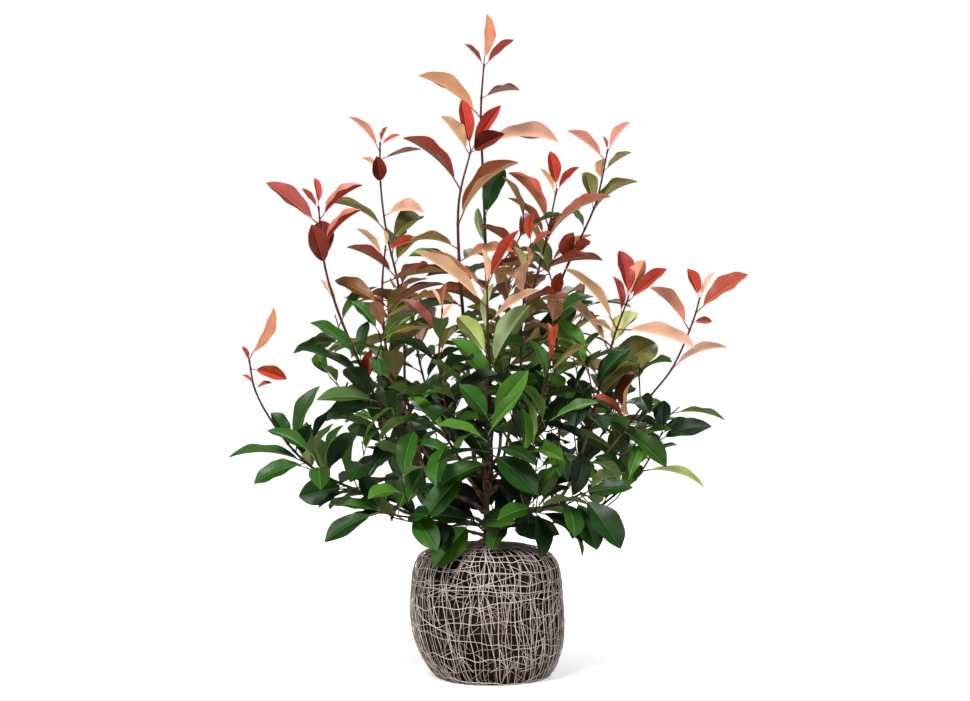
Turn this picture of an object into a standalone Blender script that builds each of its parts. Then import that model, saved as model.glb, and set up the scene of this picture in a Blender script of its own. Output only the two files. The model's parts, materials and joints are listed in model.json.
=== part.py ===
"""Photinia Red Robin: a young evergreen shrub standing on its netted root ball.

Metres, +Z up, front towards -Y. The origin is the point of the flat underside of the root ball that
lies plumb below the foot of the trunk. The trunk forks low down into many boughs. Each bough is one
tapering limb, and it ends where it enters its own mass of foliage: a stem with side twigs and leaves,
joined into one solid.
"""

import math
import random
from collections import namedtuple

import bmesh
import bpy
from mathutils import Matrix, Vector
from mathutils.bvhtree import BVHTree

CM = 0.01
MM = 0.001
UP = Vector((0, 0, 1))
FRONT = Vector((0.2, -1, 0.1))

# The root ball
BALL_HEIGHT = 21.5 * CM
BALL_RADIUS = 12.3 * CM
BALL_WIDEST_AT = 13.0 * CM
BALL_LOWER_REACH = 15.8 * CM
BALL_UPPER_SQUARENESS = 3.6
BALL_LOWER_SQUARENESS = 2.8
BALL_DEPTH_SHARE = 0.96
BALL_FOOT_SHIFT = 1.1 * CM
BALL_SIDE_SHIFT = 0.3 * CM
BALL_LUMP = 0.022
BALL_SEGMENTS = 28
BALL_RINGS = 14

# Wood
JOINT_GAP = 0.3 * MM
FORK_GAP = 0.15 * MM
CLEAR_STEP = 0.1 * MM
ROUND_SIDES = 24
TRUNK_FLARE = 0.45
TRUNK_FLARE_HEIGHT = 2.2 * CM
TRUNK_TIP_RADIUS = 4.0 * MM
TIP_RADIUS = 1.3 * MM
TAPER_POWER = 0.8
COURSE_STEPS = 12
WOOD_SIDES = 8
BOUGH_BEVEL = 2
TRUNK_BEVEL = 3
BOUGH_POINTS = 7
STEM_POINTS = 9
TWIG_SIDES = 3
TWIG_POINTS = 4
TWIG_RADIUS = 1.3 * MM
TWIG_TIP_RADIUS = 0.9 * MM
TWIG_LENGTH = 9 * CM
TWIG_LEAN = 0.8
TWIG_RISE = 0.3
LOWEST_TWIG_SLOPE = -0.2
FLUSH_LENGTH = 22 * CM
TIP_LENGTH = 5 * CM
LEAST_TWIGGY_SHARE = 0.3

# Leaves, where a pair is the value on a shoot's tip and on old wood
GOLDEN_TURN = math.radians(137.5)
LEAF_SPACING = (1.0 * CM, 2.0 * CM)
LEAF_LENGTH = (5.2 * CM, 9.8 * CM)
LEAF_SPREAD = (math.radians(24), math.radians(62))
LEAF_SAG = (0.0, 0.42)
LEAF_ROLL = (math.radians(13), math.radians(32))
LEAF_WIDTH_SHARE = (0.37, 0.49)
LEAF_BEND = (math.radians(14), math.radians(48))
FLUSH_FOLD = (math.radians(46), math.radians(34))
GREEN_FOLD = (math.radians(30), math.radians(18))
LEAF_OVERLENGTH = 1.03
LEAF_THICKNESS = 1.3 * MM
PETIOLE_SHARE = 0.16
LOWEST_LEAF = 20.5 * CM
FIRST_LEAF = 0.4 * CM
LAST_LEAF = 0.8 * CM
FLUSH_AGEING = 14 * CM
GREEN_AGEING = 9 * CM
CLEARANCE = 1.0 * MM
BLADE_STARTS = 0.2
LISTED_SECTIONS = (0.27, 0.68)
SPIRAL_SECTIONS = (0.45,)
GUARD_SECTIONS = (0.18, 0.45, 0.72)

# Turns tried in order where a leaf or twig is in another's way: for a listed leaf in the front view and
# towards the front, for another leaf round its stem and away from it with a share of its length, and for
# a twig round its stem, all in degrees
LISTED_SWINGS = ((0, 0), (0, 14), (0, -14), (4, 28), (-4, -28), (0, 42), (0, -42), (12, 10), (-12, -10))
LEAF_SWINGS = (
    (0, 0, 1), (20, 0, 1), (-20, 0, 1), (0, 18, 0.95), (0, -16, 0.95), (40, 0, 0.9), (-40, 0, 0.9),
    (60, 10, 0.85), (-60, 10, 0.85), (20, 22, 0.75), (-20, -14, 0.75), (90, 0, 0.75), (-90, 0, 0.75),
)
TWIG_SWINGS = (0, 30, -30, 60, -60, 90, -90, 120)

# Where the sky shows between the shoots in the front view: (right, up, radius) in centimetres. The
# leaves of the rule keep out.
OPENINGS = (
    (-22.1, 65.7, 3.4), (-28.2, 63.6, 3.4), (-29.6, 56.7, 3.6), (-29.9, 48.8, 3.8), (-12.2, 50.1, 3.0),
    (-4.9, 74.4, 3.6), (2.6, 72.5, 3.6), (-7.8, 73.6, 3.4), (16.1, 67.9, 2.6), (21.5, 64.9, 3.2),
    (33.6, 48.6, 4.2), (28.7, 47.9, 2.6), (33.5, 36.2, 3.6), (32.0, 28.0, 4.4), (25.2, 24.7, 4.0),
    (-34.2, 30.5, 3.8), (-28.9, 23.9, 3.6), (-13.5, 23.1, 2.8), (27.7, 31.1, 2.8), (-20.3, 56.6, 2.6),
    (-22.9, 48.2, 2.2), (-5.5, 69.8, 2.2), (37.5, 45.7, 3.4), (33.4, 41.6, 2.0), (-33.0, 26.0, 3.2),
    (-26.0, 21.4, 2.8), (-20.5, 21.8, 3.2), (-23.0, 33.7, 1.8),
)

# Where the bare trunk shows, in the same measures: leaves in front of it keep out.
TRUNK_VIEWS = ((-0.6, 24.4, 1.8), (-0.8, 27.4, 2.0), (-0.9, 30.4, 2.0), (-0.8, 33.0, 1.8))

# name, parent, share of the parent's course where it forks, course in centimetres (right, away, up),
# share of its course where its foliage begins, radius at the foot in millimetres, how many side twigs,
# whether its tip is in red flush, and the leaves that stand out: (centimetres back from the tip, angle
# in the front view from right through up, degrees its tip is turned towards the front, degrees its upper
# side is turned towards the front, length in centimetres, breadth as a share of the usual).
Limb = namedtuple("Limb", "name parent fork course leafy foot_mm twigs flush leaves")

TRUNK_FOOT = (0, 0, (BALL_HEIGHT + JOINT_GAP) / CM)
TRUNK = Limb("trunk", None, 0, (TRUNK_FOOT, (-0.1, 0, 28), (-0.4, 0, 35)), 1.0, 5.8, 0, False, ())

LIMBS = (
    Limb("lead", "trunk", 1.0,
         ((-0.2, 1, 40), (0, 2, 46), (0, 3, 61.5), (-0.5, 3, 78.5), (-1, 2, 93), (-0.5, 1, 100.5)),
         0.34, 3.8, 1, True,
         ((0.1, 86, 10, -120, 8.0, 1.15), (0.2, 132, 0, 30, 4.6, 1.0), (0.4, 43, -12, 55, 6.8, 1.0),
          (5.6, 11, 5, 14, 6.4, 1.3), (8.9, 146, 0, -30, 12.4, 1.0), (13.5, 3, 0, -20, 12.8, 1.25),
          (25.6, 68, -18, 70, 9.0, 1.1), (30, 103, 10, -100, 6.6, 0.6))),
    Limb("left_lead", "trunk", 0.82,
         ((-1.8, -0.8, 34.6), (-2.4, -1.4, 42), (-3.5, -4, 55), (-4.5, -6, 68), (-4.5, -6, 77.5),
          (-2.6, -4, 85.8)),
         0.5, 4.4, 0, True,
         ((0.1, 103, 5, 75, 8.2, 1.3), (0.4, 57, 10, 75, 8.8, 1.2), (0.6, 28, 35, 75, 7.4, 1.8),
          (0.8, 129, 15, -25, 8.2, 1.3), (7.0, 139, 5, 25, 12.4, 1.0), (12.9, 46, 10, 18, 14.2, 1.25))),
    Limb("left_main", "trunk", 0.38,
         ((-2.6, -1.4, 28.6), (-7.5, -3, 31), (-11, -4, 35.5), (-17, -5, 44), (-21, -6, 52.5), (-24, -7, 60),
          (-26, -7, 67), (-27, -7, 76.5)),
         0.33, 4.0, 4, True,
         ((0.1, 98, 0, 60, 4.6, 1.3), (0.5, 130, 0, 60, 4.2, 1.0), (2.2, 39, 5, 25, 8.8, 1.2),
          (3.2, 142, 8, 55, 10.7, 1.2), (7.0, 45, 8, 20, 9.0, 1.1), (9.4, 96, -22, 80, 7.7, 1.3),
          (9.9, 108, 20, 75, 7.4, 1.3), (16.5, 120, 5, -50, 5.3, 0.6), (26, 141, 5, 30, 10.2, 1.0),
          (26.5, 78, -10, 60, 7.2, 1.0), (29.5, 82, 30, 70, 6.0, 1.0), (31, 151, 5, 12, 13.2, 0.8),
          (33.3, 177, 20, 50, 10.4, 0.8), (34.5, 192, 25, 45, 9.4, 1.2))),
    Limb("left_tall", "left_main", 0.16,
         ((-7.6, 0, 32.5), (-11, 3.5, 38), (-13.5, 6, 46), (-14, 8, 55), (-15, 9, 64.5), (-17, 9, 73.5),
          (-18, 9, 82), (-18, 8, 88.5)),
         0.36, 2.8, 1, True,
         ((0.2, 65, 0, 50, 2.9, 1.3), (0.6, 27, -10, -30, 3.8, 1.0), (1.6, 132, 5, -15, 7.6, 0.9),
          (3.0, 14, 0, 10, 7.1, 0.8), (4.9, 145, 10, -30, 3.7, 1.2), (7.2, 100, 30, 80, 5.2, 1.6),
          (12.5, 5, 0, -30, 6.8, 1.5), (15.3, 155, 5, 12, 11.7, 0.8), (17.4, 44, -26, 65, 9.6, 1.2))),
    Limb("left_mid", "left_main", 0.24,
         ((-11, -1.8, 36.5), (-13.6, -1, 44.5), (-16, -1.2, 51), (-17, -2, 60), (-17, -2, 65.5),
          (-16.5, -2, 70.5)),
         0.34, 3.2, 2, True,
         ((0.3, 95, 20, -40, 2.8, 1.4), (0.9, 18, 5, 60, 5.6, 1.3), (2.2, 133, 8, -20, 6.5, 1.0),
          (6.2, 9, 5, 14, 10.8, 1.1), (10, 153, -12, 50, 9.2, 1.0), (11, 25, -14, 10, 11.4, 0.7),
          (13, 51, -28, 70, 9.8, 1.25))),
    Limb("far_left", "trunk", 0.1,
         ((-1.8, -0.9, 23.5), (-5.5, -2.8, 24.6), (-12.5, -5, 27), (-17.5, -6, 29.5), (-26, -7, 33.3),
          (-30, -8, 36.5), (-34, -8, 41.5), (-37, -8, 47), (-38, -8, 52)),
         0.36, 3.0, 3, True,
         ((0.1, 62, 5, -120, 9.0, 1.1), (0.5, 115, 0, 50, 2.7, 1.2), (1.6, -15, 5, 70, 6.0, 1.6),
          (4.0, 140, 0, -30, 2.2, 1.2), (4.9, 20, 0, 40, 2.8, 1.2), (15.5, 122, 0, 50, 6.0, 1.3),
          (17, 71, -5, 50, 11.2, 0.8), (18.5, 74, 25, 60, 6.4, 1.3), (20, 174, 0, 14, 13.0, 0.8),
          (19.5, 200, 10, 50, 9.0, 1.0), (23, 50, 10, 55, 8.6, 1.3), (27, 189, 15, 85, 8.0, 1.5))),
    Limb("right_main", "trunk", 0.33,
         ((2.4, 0.5, 26.9), (6, 1, 26.8), (10.5, 2, 27.6), (14, 2, 32), (16.5, 1, 39.5), (18.5, 0, 47.5),
          (21, -2, 56.5), (23, -3, 62)),
         0.5, 3.8, 4, True,
         ((0.2, 97, -18, 75, 8.2, 1.35), (0.6, 66, 5, -75, 7.0, 1.6), (1.0, 40, 0, 60, 8.4, 1.1),
          (3.2, 101, -5, 40, 6.4, 1.0), (5.6, -14, 5, -22, 12.8, 1.05), (5.6, 132, 8, -10, 13.2, 0.8),
          (6.4, 155, 25, -10, 5.4, 1.0), (9.2, 50, 15, -45, 7.6, 1.5), (9.6, 134, 5, -12, 12.0, 0.8),
          (15.4, 38, -20, 70, 12.6, 1.25), (18.4, 40, -38, 65, 12.4, 1.2), (14.5, 150, 10, -10, 9.8, 0.9))),
    Limb("right_far", "right_main", 0.36,
         ((16.4, 1.2, 34.2), (19.5, 0.5, 36.5), (22, 1, 39.5), (27, 1, 46), (30.5, 1, 50.5), (34, 1, 58.5),
          (35, 1, 62)),
         0.28, 2.2, 2, True,
         ((0.1, 112, 5, 70, 5.2, 1.7), (2.6, 34, 0, 45, 10.6, 1.2), (0.8, 62, 0, -30, 5.6, 0.9),
          (4.2, 5, 10, 70, 3.2, 1.5), (5.6, 134, 5, -30, 9.6, 1.2), (12.8, 22, 5, -10, 9.9, 0.9),
          (23.5, 87, 22, 10, 9.6, 1.3), (24.9, 137, 10, 20, 8.8, 0.8), (25.6, -40, 25, 60, 9.6, 1.1))),
    Limb("right_back", "right_main", 0.24,
         ((10.8, 4.2, 30), (12.2, 8, 40), (11.8, 11.5, 53.5), (12.5, 12, 64.5), (15.5, 11, 71.5),
          (18.5, 10, 78.5), (20.5, 10, 87.5)),
         0.4, 2.9, 2, True,
         ((0.2, 110, 0, 40, 2.4, 1.2), (0.5, 52, 0, -20, 6.2, 1.3), (2.0, 142, 5, -20, 8.0, 1.3),
          (3.8, 33, 10, 12, 5.5, 1.2), (5.5, 88, 35, -60, 4.2, 1.3), (10.5, 103, -25, 70, 7.4, 1.1),
          (11.5, 35, 0, 14, 9.8, 1.25), (14.2, 130, 20, 40, 4.4, 1.2), (19, 37, 10, 60, 3.8, 1.8),
          (21, 79, 20, 60, 6.0, 1.4), (26.6, 88, 20, 65, 4.4, 1.5))),
    Limb("right_mid", "trunk", 0.9,
         ((1.7, 0.8, 35.7), (2.4, 1, 42), (3.5, 1, 51), (7, 1, 61.5), (9.5, 1, 70.5), (11.5, 1, 80)),
         0.4, 3.0, 1, True,
         ((0.1, 101, 8, 80, 6.2, 1.5), (0.5, 48, 12, 60, 5.4, 1.1), (1.0, 122, -8, -30, 4.9, 1.0),
          (6.0, 24, 8, 5, 10.8, 1.2), (6.6, 127, 5, 15, 11.2, 1.25), (8.6, 131, -15, 15, 9.6, 0.8),
          (9.6, 47, -12, 15, 9.8, 1.0), (14.2, 11, 8, 15, 10.8, 1.2), (17, 160, 25, -30, 8.0, 1.0))),
    Limb("right_inner", "trunk", 0.74,
         ((1.8, -1.6, 33.4), (3.6, -2.8, 40), (5.3, -4, 49), (5.6, -4, 57.5), (6.5, -4, 66.5), (7, -4, 70.5)),
         0.42, 2.6, 2, True,
         ((0.1, 86, -12, 60, 5.4, 1.6), (0.4, 35, 10, 40, 4.2, 1.2), (3.3, 141, 0, 15, 10.0, 1.1),
          (4.2, 92, 40, -40, 4.8, 1.0), (5.6, 112, 10, -50, 5.8, 1.1), (9, 84, 15, -50, 8.0, 1.0))),
    Limb("front_lead", "trunk", 0.95,
         ((0.1, -1.9, 36.2), (0.2, -4, 41), (0.5, -8, 48.5), (0.1, -11, 56.5), (0, -13, 63.6)),
         0.27, 4.2, 1, True,
         ((0.1, 60, 15, 50, 10.0, 0.95), (0.4, 99, 10, -40, 6.0, 1.1), (0.7, 145, 5, -5, 10.6, 0.75),
          (3.6, 143, 8, -14, 14.2, 0.9), (6.4, 33, 0, -10, 9.8, 0.9), (8.1, 82, -25, -40, 9.0, 0.8),
          (12.1, 125, 25, -75, 9.0, 1.0), (14.2, 58, 5, -65, 12.2, 0.95), (18.1, 125, 12, 50, 12.0, 0.9))),
    Limb("back_lead", "trunk", 0.66,
         ((0.3, 2.2, 31.8), (0.6, 5, 37), (2, 9, 47), (3, 13, 57), (4, 17, 66)),
         0.4, 2.8, 2, True,
         ((0.2, 95, -5, 30, 7.0, 1.0), (0.7, 150, -20, -40, 6.5, 1.0), (1.2, 40, 20, 20, 7.5, 1.0))),
    Limb("back_left", "trunk", 0.5,
         ((-1.4, 1.8, 29.7), (-4, 6, 34), (-9, 12, 43), (-12, 17, 53), (-13, 21, 60)),
         0.35, 2.8, 3, True, ()),
    Limb("back_right", "trunk", 0.56,
         ((1.5, 1.7, 30.6), (5, 7, 35), (10, 15, 43), (13, 20, 52), (15, 24, 59)),
         0.35, 2.8, 3, True, ()),
    Limb("back_low_left", "trunk", 0.2,
         ((-1.6, 1.6, 25.5), (-6, 8, 27), (-12, 15, 31), (-17, 20, 37), (-20, 23, 44)),
         0.35, 2.6, 4, False, ()),
    Limb("back_low_right", "trunk", 0.28,
         ((1.5, 1.8, 26.6), (6, 9, 28), (13, 16, 32), (19, 20, 37), (23, 23, 44)),
         0.35, 2.6, 4, False, ()),
    Limb("front_left", "trunk", 0.56,
         ((-1.5, -2, 30.6), (-4, -6, 34.5), (-6, -10, 42), (-7.5, -13, 51), (-7, -14, 60)),
         0.34, 2.6, 4, True,
         ((0.1, 118, 5, -45, 3.6, 0.8), (0.5, 82, 10, 40, 4.2, 0.8), (2.5, 60, 20, -40, 3.8, 1.0))),
    Limb("front_right", "trunk", 0.62,
         ((1.6, -2, 31.4), (4.5, -6, 36), (8, -10, 44), (10.5, -12.5, 54)),
         0.36, 2.6, 4, True,
         ((0.1, 80, 5, 60, 3.6, 1.2), (0.5, 100, 15, -60, 4.2, 1.2), (3.0, 95, 25, 40, 5.2, 1.0))),
    Limb("front_low", "trunk", 0.44,
         ((0.2, -2.2, 29), (0.6, -8, 32), (0.8, -14, 37), (0.4, -17, 43)),
         0.4, 2.4, 4, False,
         ((0.4, 50, 15, 70, 9.8, 1.2), (0.8, 128, 20, 60, 8.0, 1.1), (8.4, 205, 8, 50, 9.0, 1.1))),
    Limb("green_right", "trunk", 0.16,
         ((2, 0.9, 24.4), (7, 3, 24.3), (14, 4, 25.4), (18, 4, 27), (21, 3, 29.3), (25.5, 2, 33.5),
          (29, 2, 40)),
         0.42, 2.4, 3, False,
         ((0.2, 86, -15, 70, 5.4, 1.7), (0.8, 36, -12, 50, 5.2, 1.0), (1.8, 18, 5, 40, 9.4, 1.1),
          (4.5, 25, 25, 20, 5.2, 0.9), (7.5, -14, 5, -20, 10.9, 0.8), (9.5, 150, 10, 50, 8.2, 1.0))),
    Limb("low_right", "trunk", 0.3,
         ((1.6, -1.8, 26.7), (6, -7, 28), (11, -11, 29), (15, -13, 31)),
         0.38, 2.4, 3, False,
         ((0.4, -56, 20, 60, 10.6, 1.3), (1.5, -70, 32, 72, 9.0, 1.4), (0.2, 6, 20, 50, 8.2, 1.0))),
    Limb("low_left", "trunk", 0.24,
         ((-1.7, -1.9, 26), (-6, -6, 26.2), (-13, -10, 27), (-17.2, -12, 28)),
         0.4, 2.2, 3, False,
         ((0.3, 207, 15, 50, 9.8, 1.0), (1.2, 169, 5, 35, 7.4, 0.9), (1.8, 190, -5, 30, 6.8, 1.0),
          (0.5, 122, 10, 60, 6.6, 1.4), (3.5, 64, 10, 50, 8.4, 1.1))),
    Limb("skirt_left", "trunk", 0.12,
         ((-1.2, -1.8, 24.6), (-2.6, -5.4, 26)),
         0.0, 1.8, 0, False,
         ((0.2, 232, 30, 75, 10.4, 1.3), (1.0, 168, 15, 50, 8.0, 1.0))),
    Limb("skirt_right", "trunk", 0.08,
         ((1.6, -1.5, 24), (5.2, -4.6, 25.2)),
         0.0, 1.8, 0, False,
         ((0.2, -8, 30, 60, 7.6, 1.2), (1.2, -24, 40, 60, 7.0, 1.2))),
    Limb("skirt_back", "trunk", 0.06,
         ((0.4, 2.2, 24), (1.2, 7, 26)),
         0.0, 1.8, 1, False,
         ((0.2, 112, -5, 70, 9.4, 1.3), (0.8, 150, -5, 65, 9.4, 1.3), (1.6, 50, -5, 65, 8.6, 1.2))),
)


def smooth_course(points):
    """A dense centripetal Catmull-Rom line through the points."""
    spots = [2 * points[0] - points[1], *points, 2 * points[-1] - points[-2]]
    line = []
    for a, b, c, d in zip(spots, spots[1:], spots[2:], spots[3:]):
        knots = [0.0]
        for start, end in ((a, b), (b, c), (c, d)):
            knots.append(knots[-1] + max((end - start).length, 1e-6) ** 0.5)
        for step in range(COURSE_STEPS):
            t = knots[1] + (knots[2] - knots[1]) * step / COURSE_STEPS
            ab = a.lerp(b, (t - knots[0]) / (knots[1] - knots[0]))
            bc = b.lerp(c, (t - knots[1]) / (knots[2] - knots[1]))
            cd = c.lerp(d, (t - knots[2]) / (knots[3] - knots[2]))
            abc = ab.lerp(bc, (t - knots[0]) / (knots[2] - knots[0]))
            bcd = bc.lerp(cd, (t - knots[1]) / (knots[3] - knots[1]))
            line.append(abc.lerp(bcd, (t - knots[1]) / (knots[2] - knots[1])))
    line.append(points[-1].copy())
    return line


class Course:
    """A limb's line as (point, radius) spots, read by distance from its foot."""

    def __init__(self, spots):
        self.spots = spots
        self.reach = [0.0]
        for (start, _), (end, _) in zip(spots, spots[1:]):
            self.reach.append(self.reach[-1] + (end - start).length)
        self.length = self.reach[-1]

    def at(self, distance):
        """(point, direction, radius) at that distance from the foot."""
        distance = min(max(distance, 0.0), self.length)
        k = 1
        while k < len(self.reach) - 1 and self.reach[k] < distance:
            k += 1
        share = (distance - self.reach[k - 1]) / (self.reach[k] - self.reach[k - 1])
        (start, foot), (end, tip) = self.spots[k - 1], self.spots[k]
        return start.lerp(end, share), (end - start).normalized(), foot + (tip - foot) * share

    def nearest(self, point):
        """(distance, direction, radius) where the course's side is nearest to the point."""
        found = []
        for (start, foot), (end, tip) in zip(self.spots, self.spots[1:]):
            along = end - start
            share = min(max((point - start).dot(along) / along.length_squared, 0.0), 1.0)
            distance = (point - start.lerp(end, share)).length
            found.append((distance, along.normalized(), foot + (tip - foot) * share))
        return min(found, key=lambda spot: spot[0] - spot[2])

    def stretch(self, start, end, count):
        """The course between two distances, as straight pieces between evenly spaced spots."""
        cuts = [self.at(start + (end - start) * k / (count - 1)) for k in range(count)]
        return Course([(point, radius) for point, _, radius in cuts])


def tapering(points, foot_radius, tip_radius):
    """A smooth course through the points, thinning from its foot to its tip."""
    line = smooth_course(points)
    shares = [1 - k / (len(line) - 1) for k in range(len(line))]
    radii = [tip_radius + (foot_radius - tip_radius) * left**TAPER_POWER for left in shares]
    return Course(list(zip(line, radii)))


def square_to(direction, near=UP):
    """A unit vector square to the direction, as near as can be to another."""
    side = near - near.dot(direction) * direction
    if side.length < 0.05:
        side = Vector((1, 0, 0)) - direction.x * direction
    return side.normalized()


def tube(course, sides, margin=0.0):
    """(points, faces) of a closed tube along a course."""
    points, faces = [], []
    across = None
    spots = course.spots
    for k, (centre, radius) in enumerate(spots):
        radius += margin
        before = spots[max(k - 1, 0)][0]
        after = spots[min(k + 1, len(spots) - 1)][0]
        along = (after - before).normalized()
        across = square_to(along, across or Vector((0.3, -0.9, 0.2)))
        third = along.cross(across)
        for j in range(sides):
            turn = 2 * math.pi * j / sides
            points.append(centre + radius * (math.cos(turn) * across + math.sin(turn) * third))
    for k in range(len(spots) - 1):
        for j in range(sides):
            a, b = k * sides + j, k * sides + (j + 1) % sides
            faces.append((a, b, b + sides, a + sides))
    last = (len(spots) - 1) * sides
    faces.append(tuple(range(sides - 1, -1, -1)))
    faces.append(tuple(range(last, last + sides)))
    return points, faces


Leaf = namedtuple("Leaf", "root aim upper length width bend fold age sections")


def leaf_station(leaf, share):
    """(point, side, upward) at a share of the leaf's length, along its arched midrib."""
    bend = max(leaf.bend, 0.01)
    angle = bend * (0.5 - share)
    along = (math.sin(bend / 2) - math.sin(angle)) / bend
    rise = (math.cos(angle) - math.cos(bend / 2)) / bend
    point = leaf.root + leaf.length * (along * leaf.aim + rise * leaf.upper)
    upward = -math.sin(angle) * leaf.aim + math.cos(angle) * leaf.upper
    return point, leaf.aim.cross(leaf.upper), upward


def blade_profile(share):
    """The blade's half width at a share of its length, as a share of its widest."""
    return math.sin(math.pi * share**1.12) ** 0.72


def leaf_solid(leaf, sections, margin=0.0, start=0.0):
    """(points, faces) of a thin leaf: a pointed foot, its sections and a pointed tip.

    With several sections the leaf is folded along its midrib, and with one it is flat on top."""
    folded = len(sections) > 1
    thick = LEAF_THICKNESS / 2 + margin
    points = [leaf_station(leaf, start)[0]]
    for blade_share in sections:
        share = PETIOLE_SHARE + (1 - PETIOLE_SHARE) * blade_share
        centre, side, upward = leaf_station(leaf, share)
        half = leaf.width / 2 * blade_profile(blade_share) + margin
        lift = half * math.sin(leaf.fold) * upward
        out = half * math.cos(leaf.fold) * side
        if folded:
            points += [centre + out + lift, centre + thick * upward]
            points += [centre - out + lift, centre - thick * upward]
        else:
            points += [centre + out + 0.5 * lift, centre - out + 0.5 * lift]
            points.append(centre - 2 * thick * upward)
    points.append(leaf_station(leaf, 1 + margin / leaf.length)[0])
    ring = 4 if folded else 3
    last = len(points) - 1 - ring
    faces = []
    for j in range(ring):
        k = (j + 1) % ring
        faces += [(0, 1 + j, 1 + k), (last + j, last + ring, last + k)]
        faces += [(a + j, a + ring + j, a + ring + k, a + k) for a in range(1, last, ring)]
    return points, faces


class Obstacle:
    """A solid that later leaves and twigs keep clear of."""

    def __init__(self, points, faces, mass):
        self.tree = BVHTree.FromPolygons(points, faces)
        low = Vector([min(p[k] for p in points) for k in range(3)])
        high = Vector([max(p[k] for p in points) for k in range(3)])
        self.centre = (low + high) / 2
        self.radius = (high - low).length / 2
        self.mass = mass


def touches(shape, others):
    """Whether the shape meets any of the others."""
    return any(
        (o.centre - shape.centre).length < o.radius + shape.radius and o.tree.overlap(shape.tree)
        for o in others
    )


def leaf_guard(leaf, mass, margin=0.0, start=0.0):
    """The leaf's full blade together with its plain solid, as an obstacle."""
    points, faces = leaf_solid(leaf, leaf.sections, margin, start)
    more_points, more_faces = leaf_solid(leaf, GUARD_SECTIONS, margin, start)
    faces += [tuple(k + len(points) for k in face) for face in more_faces]
    return Obstacle(points + more_points, faces, mass)


def leaf_is_clear(leaf, mass, obstacles):
    """Whether the leaf keeps to the free space: its blade off everything, its foot off other masses."""
    whole = leaf_guard(leaf, mass, CLEARANCE)
    if touches(whole, [o for o in obstacles if o.mass != mass]):
        return False
    blade = leaf_guard(leaf, mass, CLEARANCE, BLADE_STARTS)
    return not touches(blade, [o for o in obstacles if o.mass == mass])


def at_age(pair, age):
    """The value between a young leaf's and a grown one's, age running from 0 to 1."""
    return pair[0] + (pair[1] - pair[0]) * age


def shaped_leaf(root, aim, upper, length, age, flush, sections, rng):
    """A leaf with the width, arch and fold of its age, folded more on a shoot in red flush."""
    width = length * (1 - PETIOLE_SHARE) * (at_age(LEAF_WIDTH_SHARE, age) + rng.uniform(-0.03, 0.03))
    bend = at_age(LEAF_BEND, age) + math.radians(rng.uniform(-10, 12))
    fold = at_age(FLUSH_FOLD if flush else GREEN_FOLD, age) + math.radians(rng.uniform(-6, 6))
    return Leaf(root, aim, upper, length * LEAF_OVERLENGTH, width, bend, fold, age, sections)


def front_aim(face, near):
    """The direction that is face degrees round in the front view, turned near degrees to the front."""
    face, near = math.radians(face), math.radians(near)
    return Vector((math.cos(face) * math.cos(near), -math.sin(near), math.sin(face) * math.cos(near)))


def front_upper(aim, show):
    """The upper side of a leaf, facing the sky and turned show degrees towards the front."""
    near = square_to(aim, Vector((0, -1, 0)))
    high = aim.cross(near)
    if high.z < 0:
        high.negate()
    return math.cos(math.radians(show)) * high + math.sin(math.radians(show)) * near


def rule_upper(aim, along, age, rng):
    """The upper side of a leaf, facing its stem while it is young and the sky once it is grown."""
    upper = square_to(aim, along.lerp(UP, at_age((0.15, 0.7), age)))
    return Matrix.Rotation(at_age(LEAF_ROLL, age) * rng.uniform(-1, 1), 3, aim) @ upper


def leaf_age(back, flush):
    """A leaf's age by its distance back from the tip: slow to darken on a shoot in red flush."""
    return min(1.0, 0.15 + back / FLUSH_AGEING) if flush else min(1.0, 0.55 + back / GREEN_AGEING)


def keeps_view_open(point):
    """Whether a leaf or twig there leaves the openings of the front view open, and the trunk in sight."""
    views = OPENINGS + TRUNK_VIEWS if point.y < 0 else OPENINGS
    return all(math.hypot(point.x / CM - right, point.z / CM - up) >= radius for right, up, radius in views)


def listed_leaves(limb, stem, obstacles):
    """The leaves that stand out, turned a little in depth where another leaf is in the way."""
    placed = []
    for k, (back, face, near, show, length, breadth) in enumerate(limb.leaves):
        point = stem.at(stem.length - back * CM)[0]
        rng = random.Random(f"{limb.name} listed {k}")
        age = leaf_age(back * CM, limb.flush)
        rolls = rng.getstate()
        for face_turn, near_turn in LISTED_SWINGS:
            rng.setstate(rolls)
            aim = front_aim(face + face_turn, near + near_turn)
            upper = front_upper(aim, show)
            leaf = shaped_leaf(point, aim, upper, length * CM, age, limb.flush, LISTED_SECTIONS, rng)
            leaf = leaf._replace(width=leaf.width * breadth)
            if leaf_is_clear(leaf, limb.name, obstacles):
                placed.append(leaf)
                obstacles.append(leaf_guard(leaf, limb.name))
                break
    return placed


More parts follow.
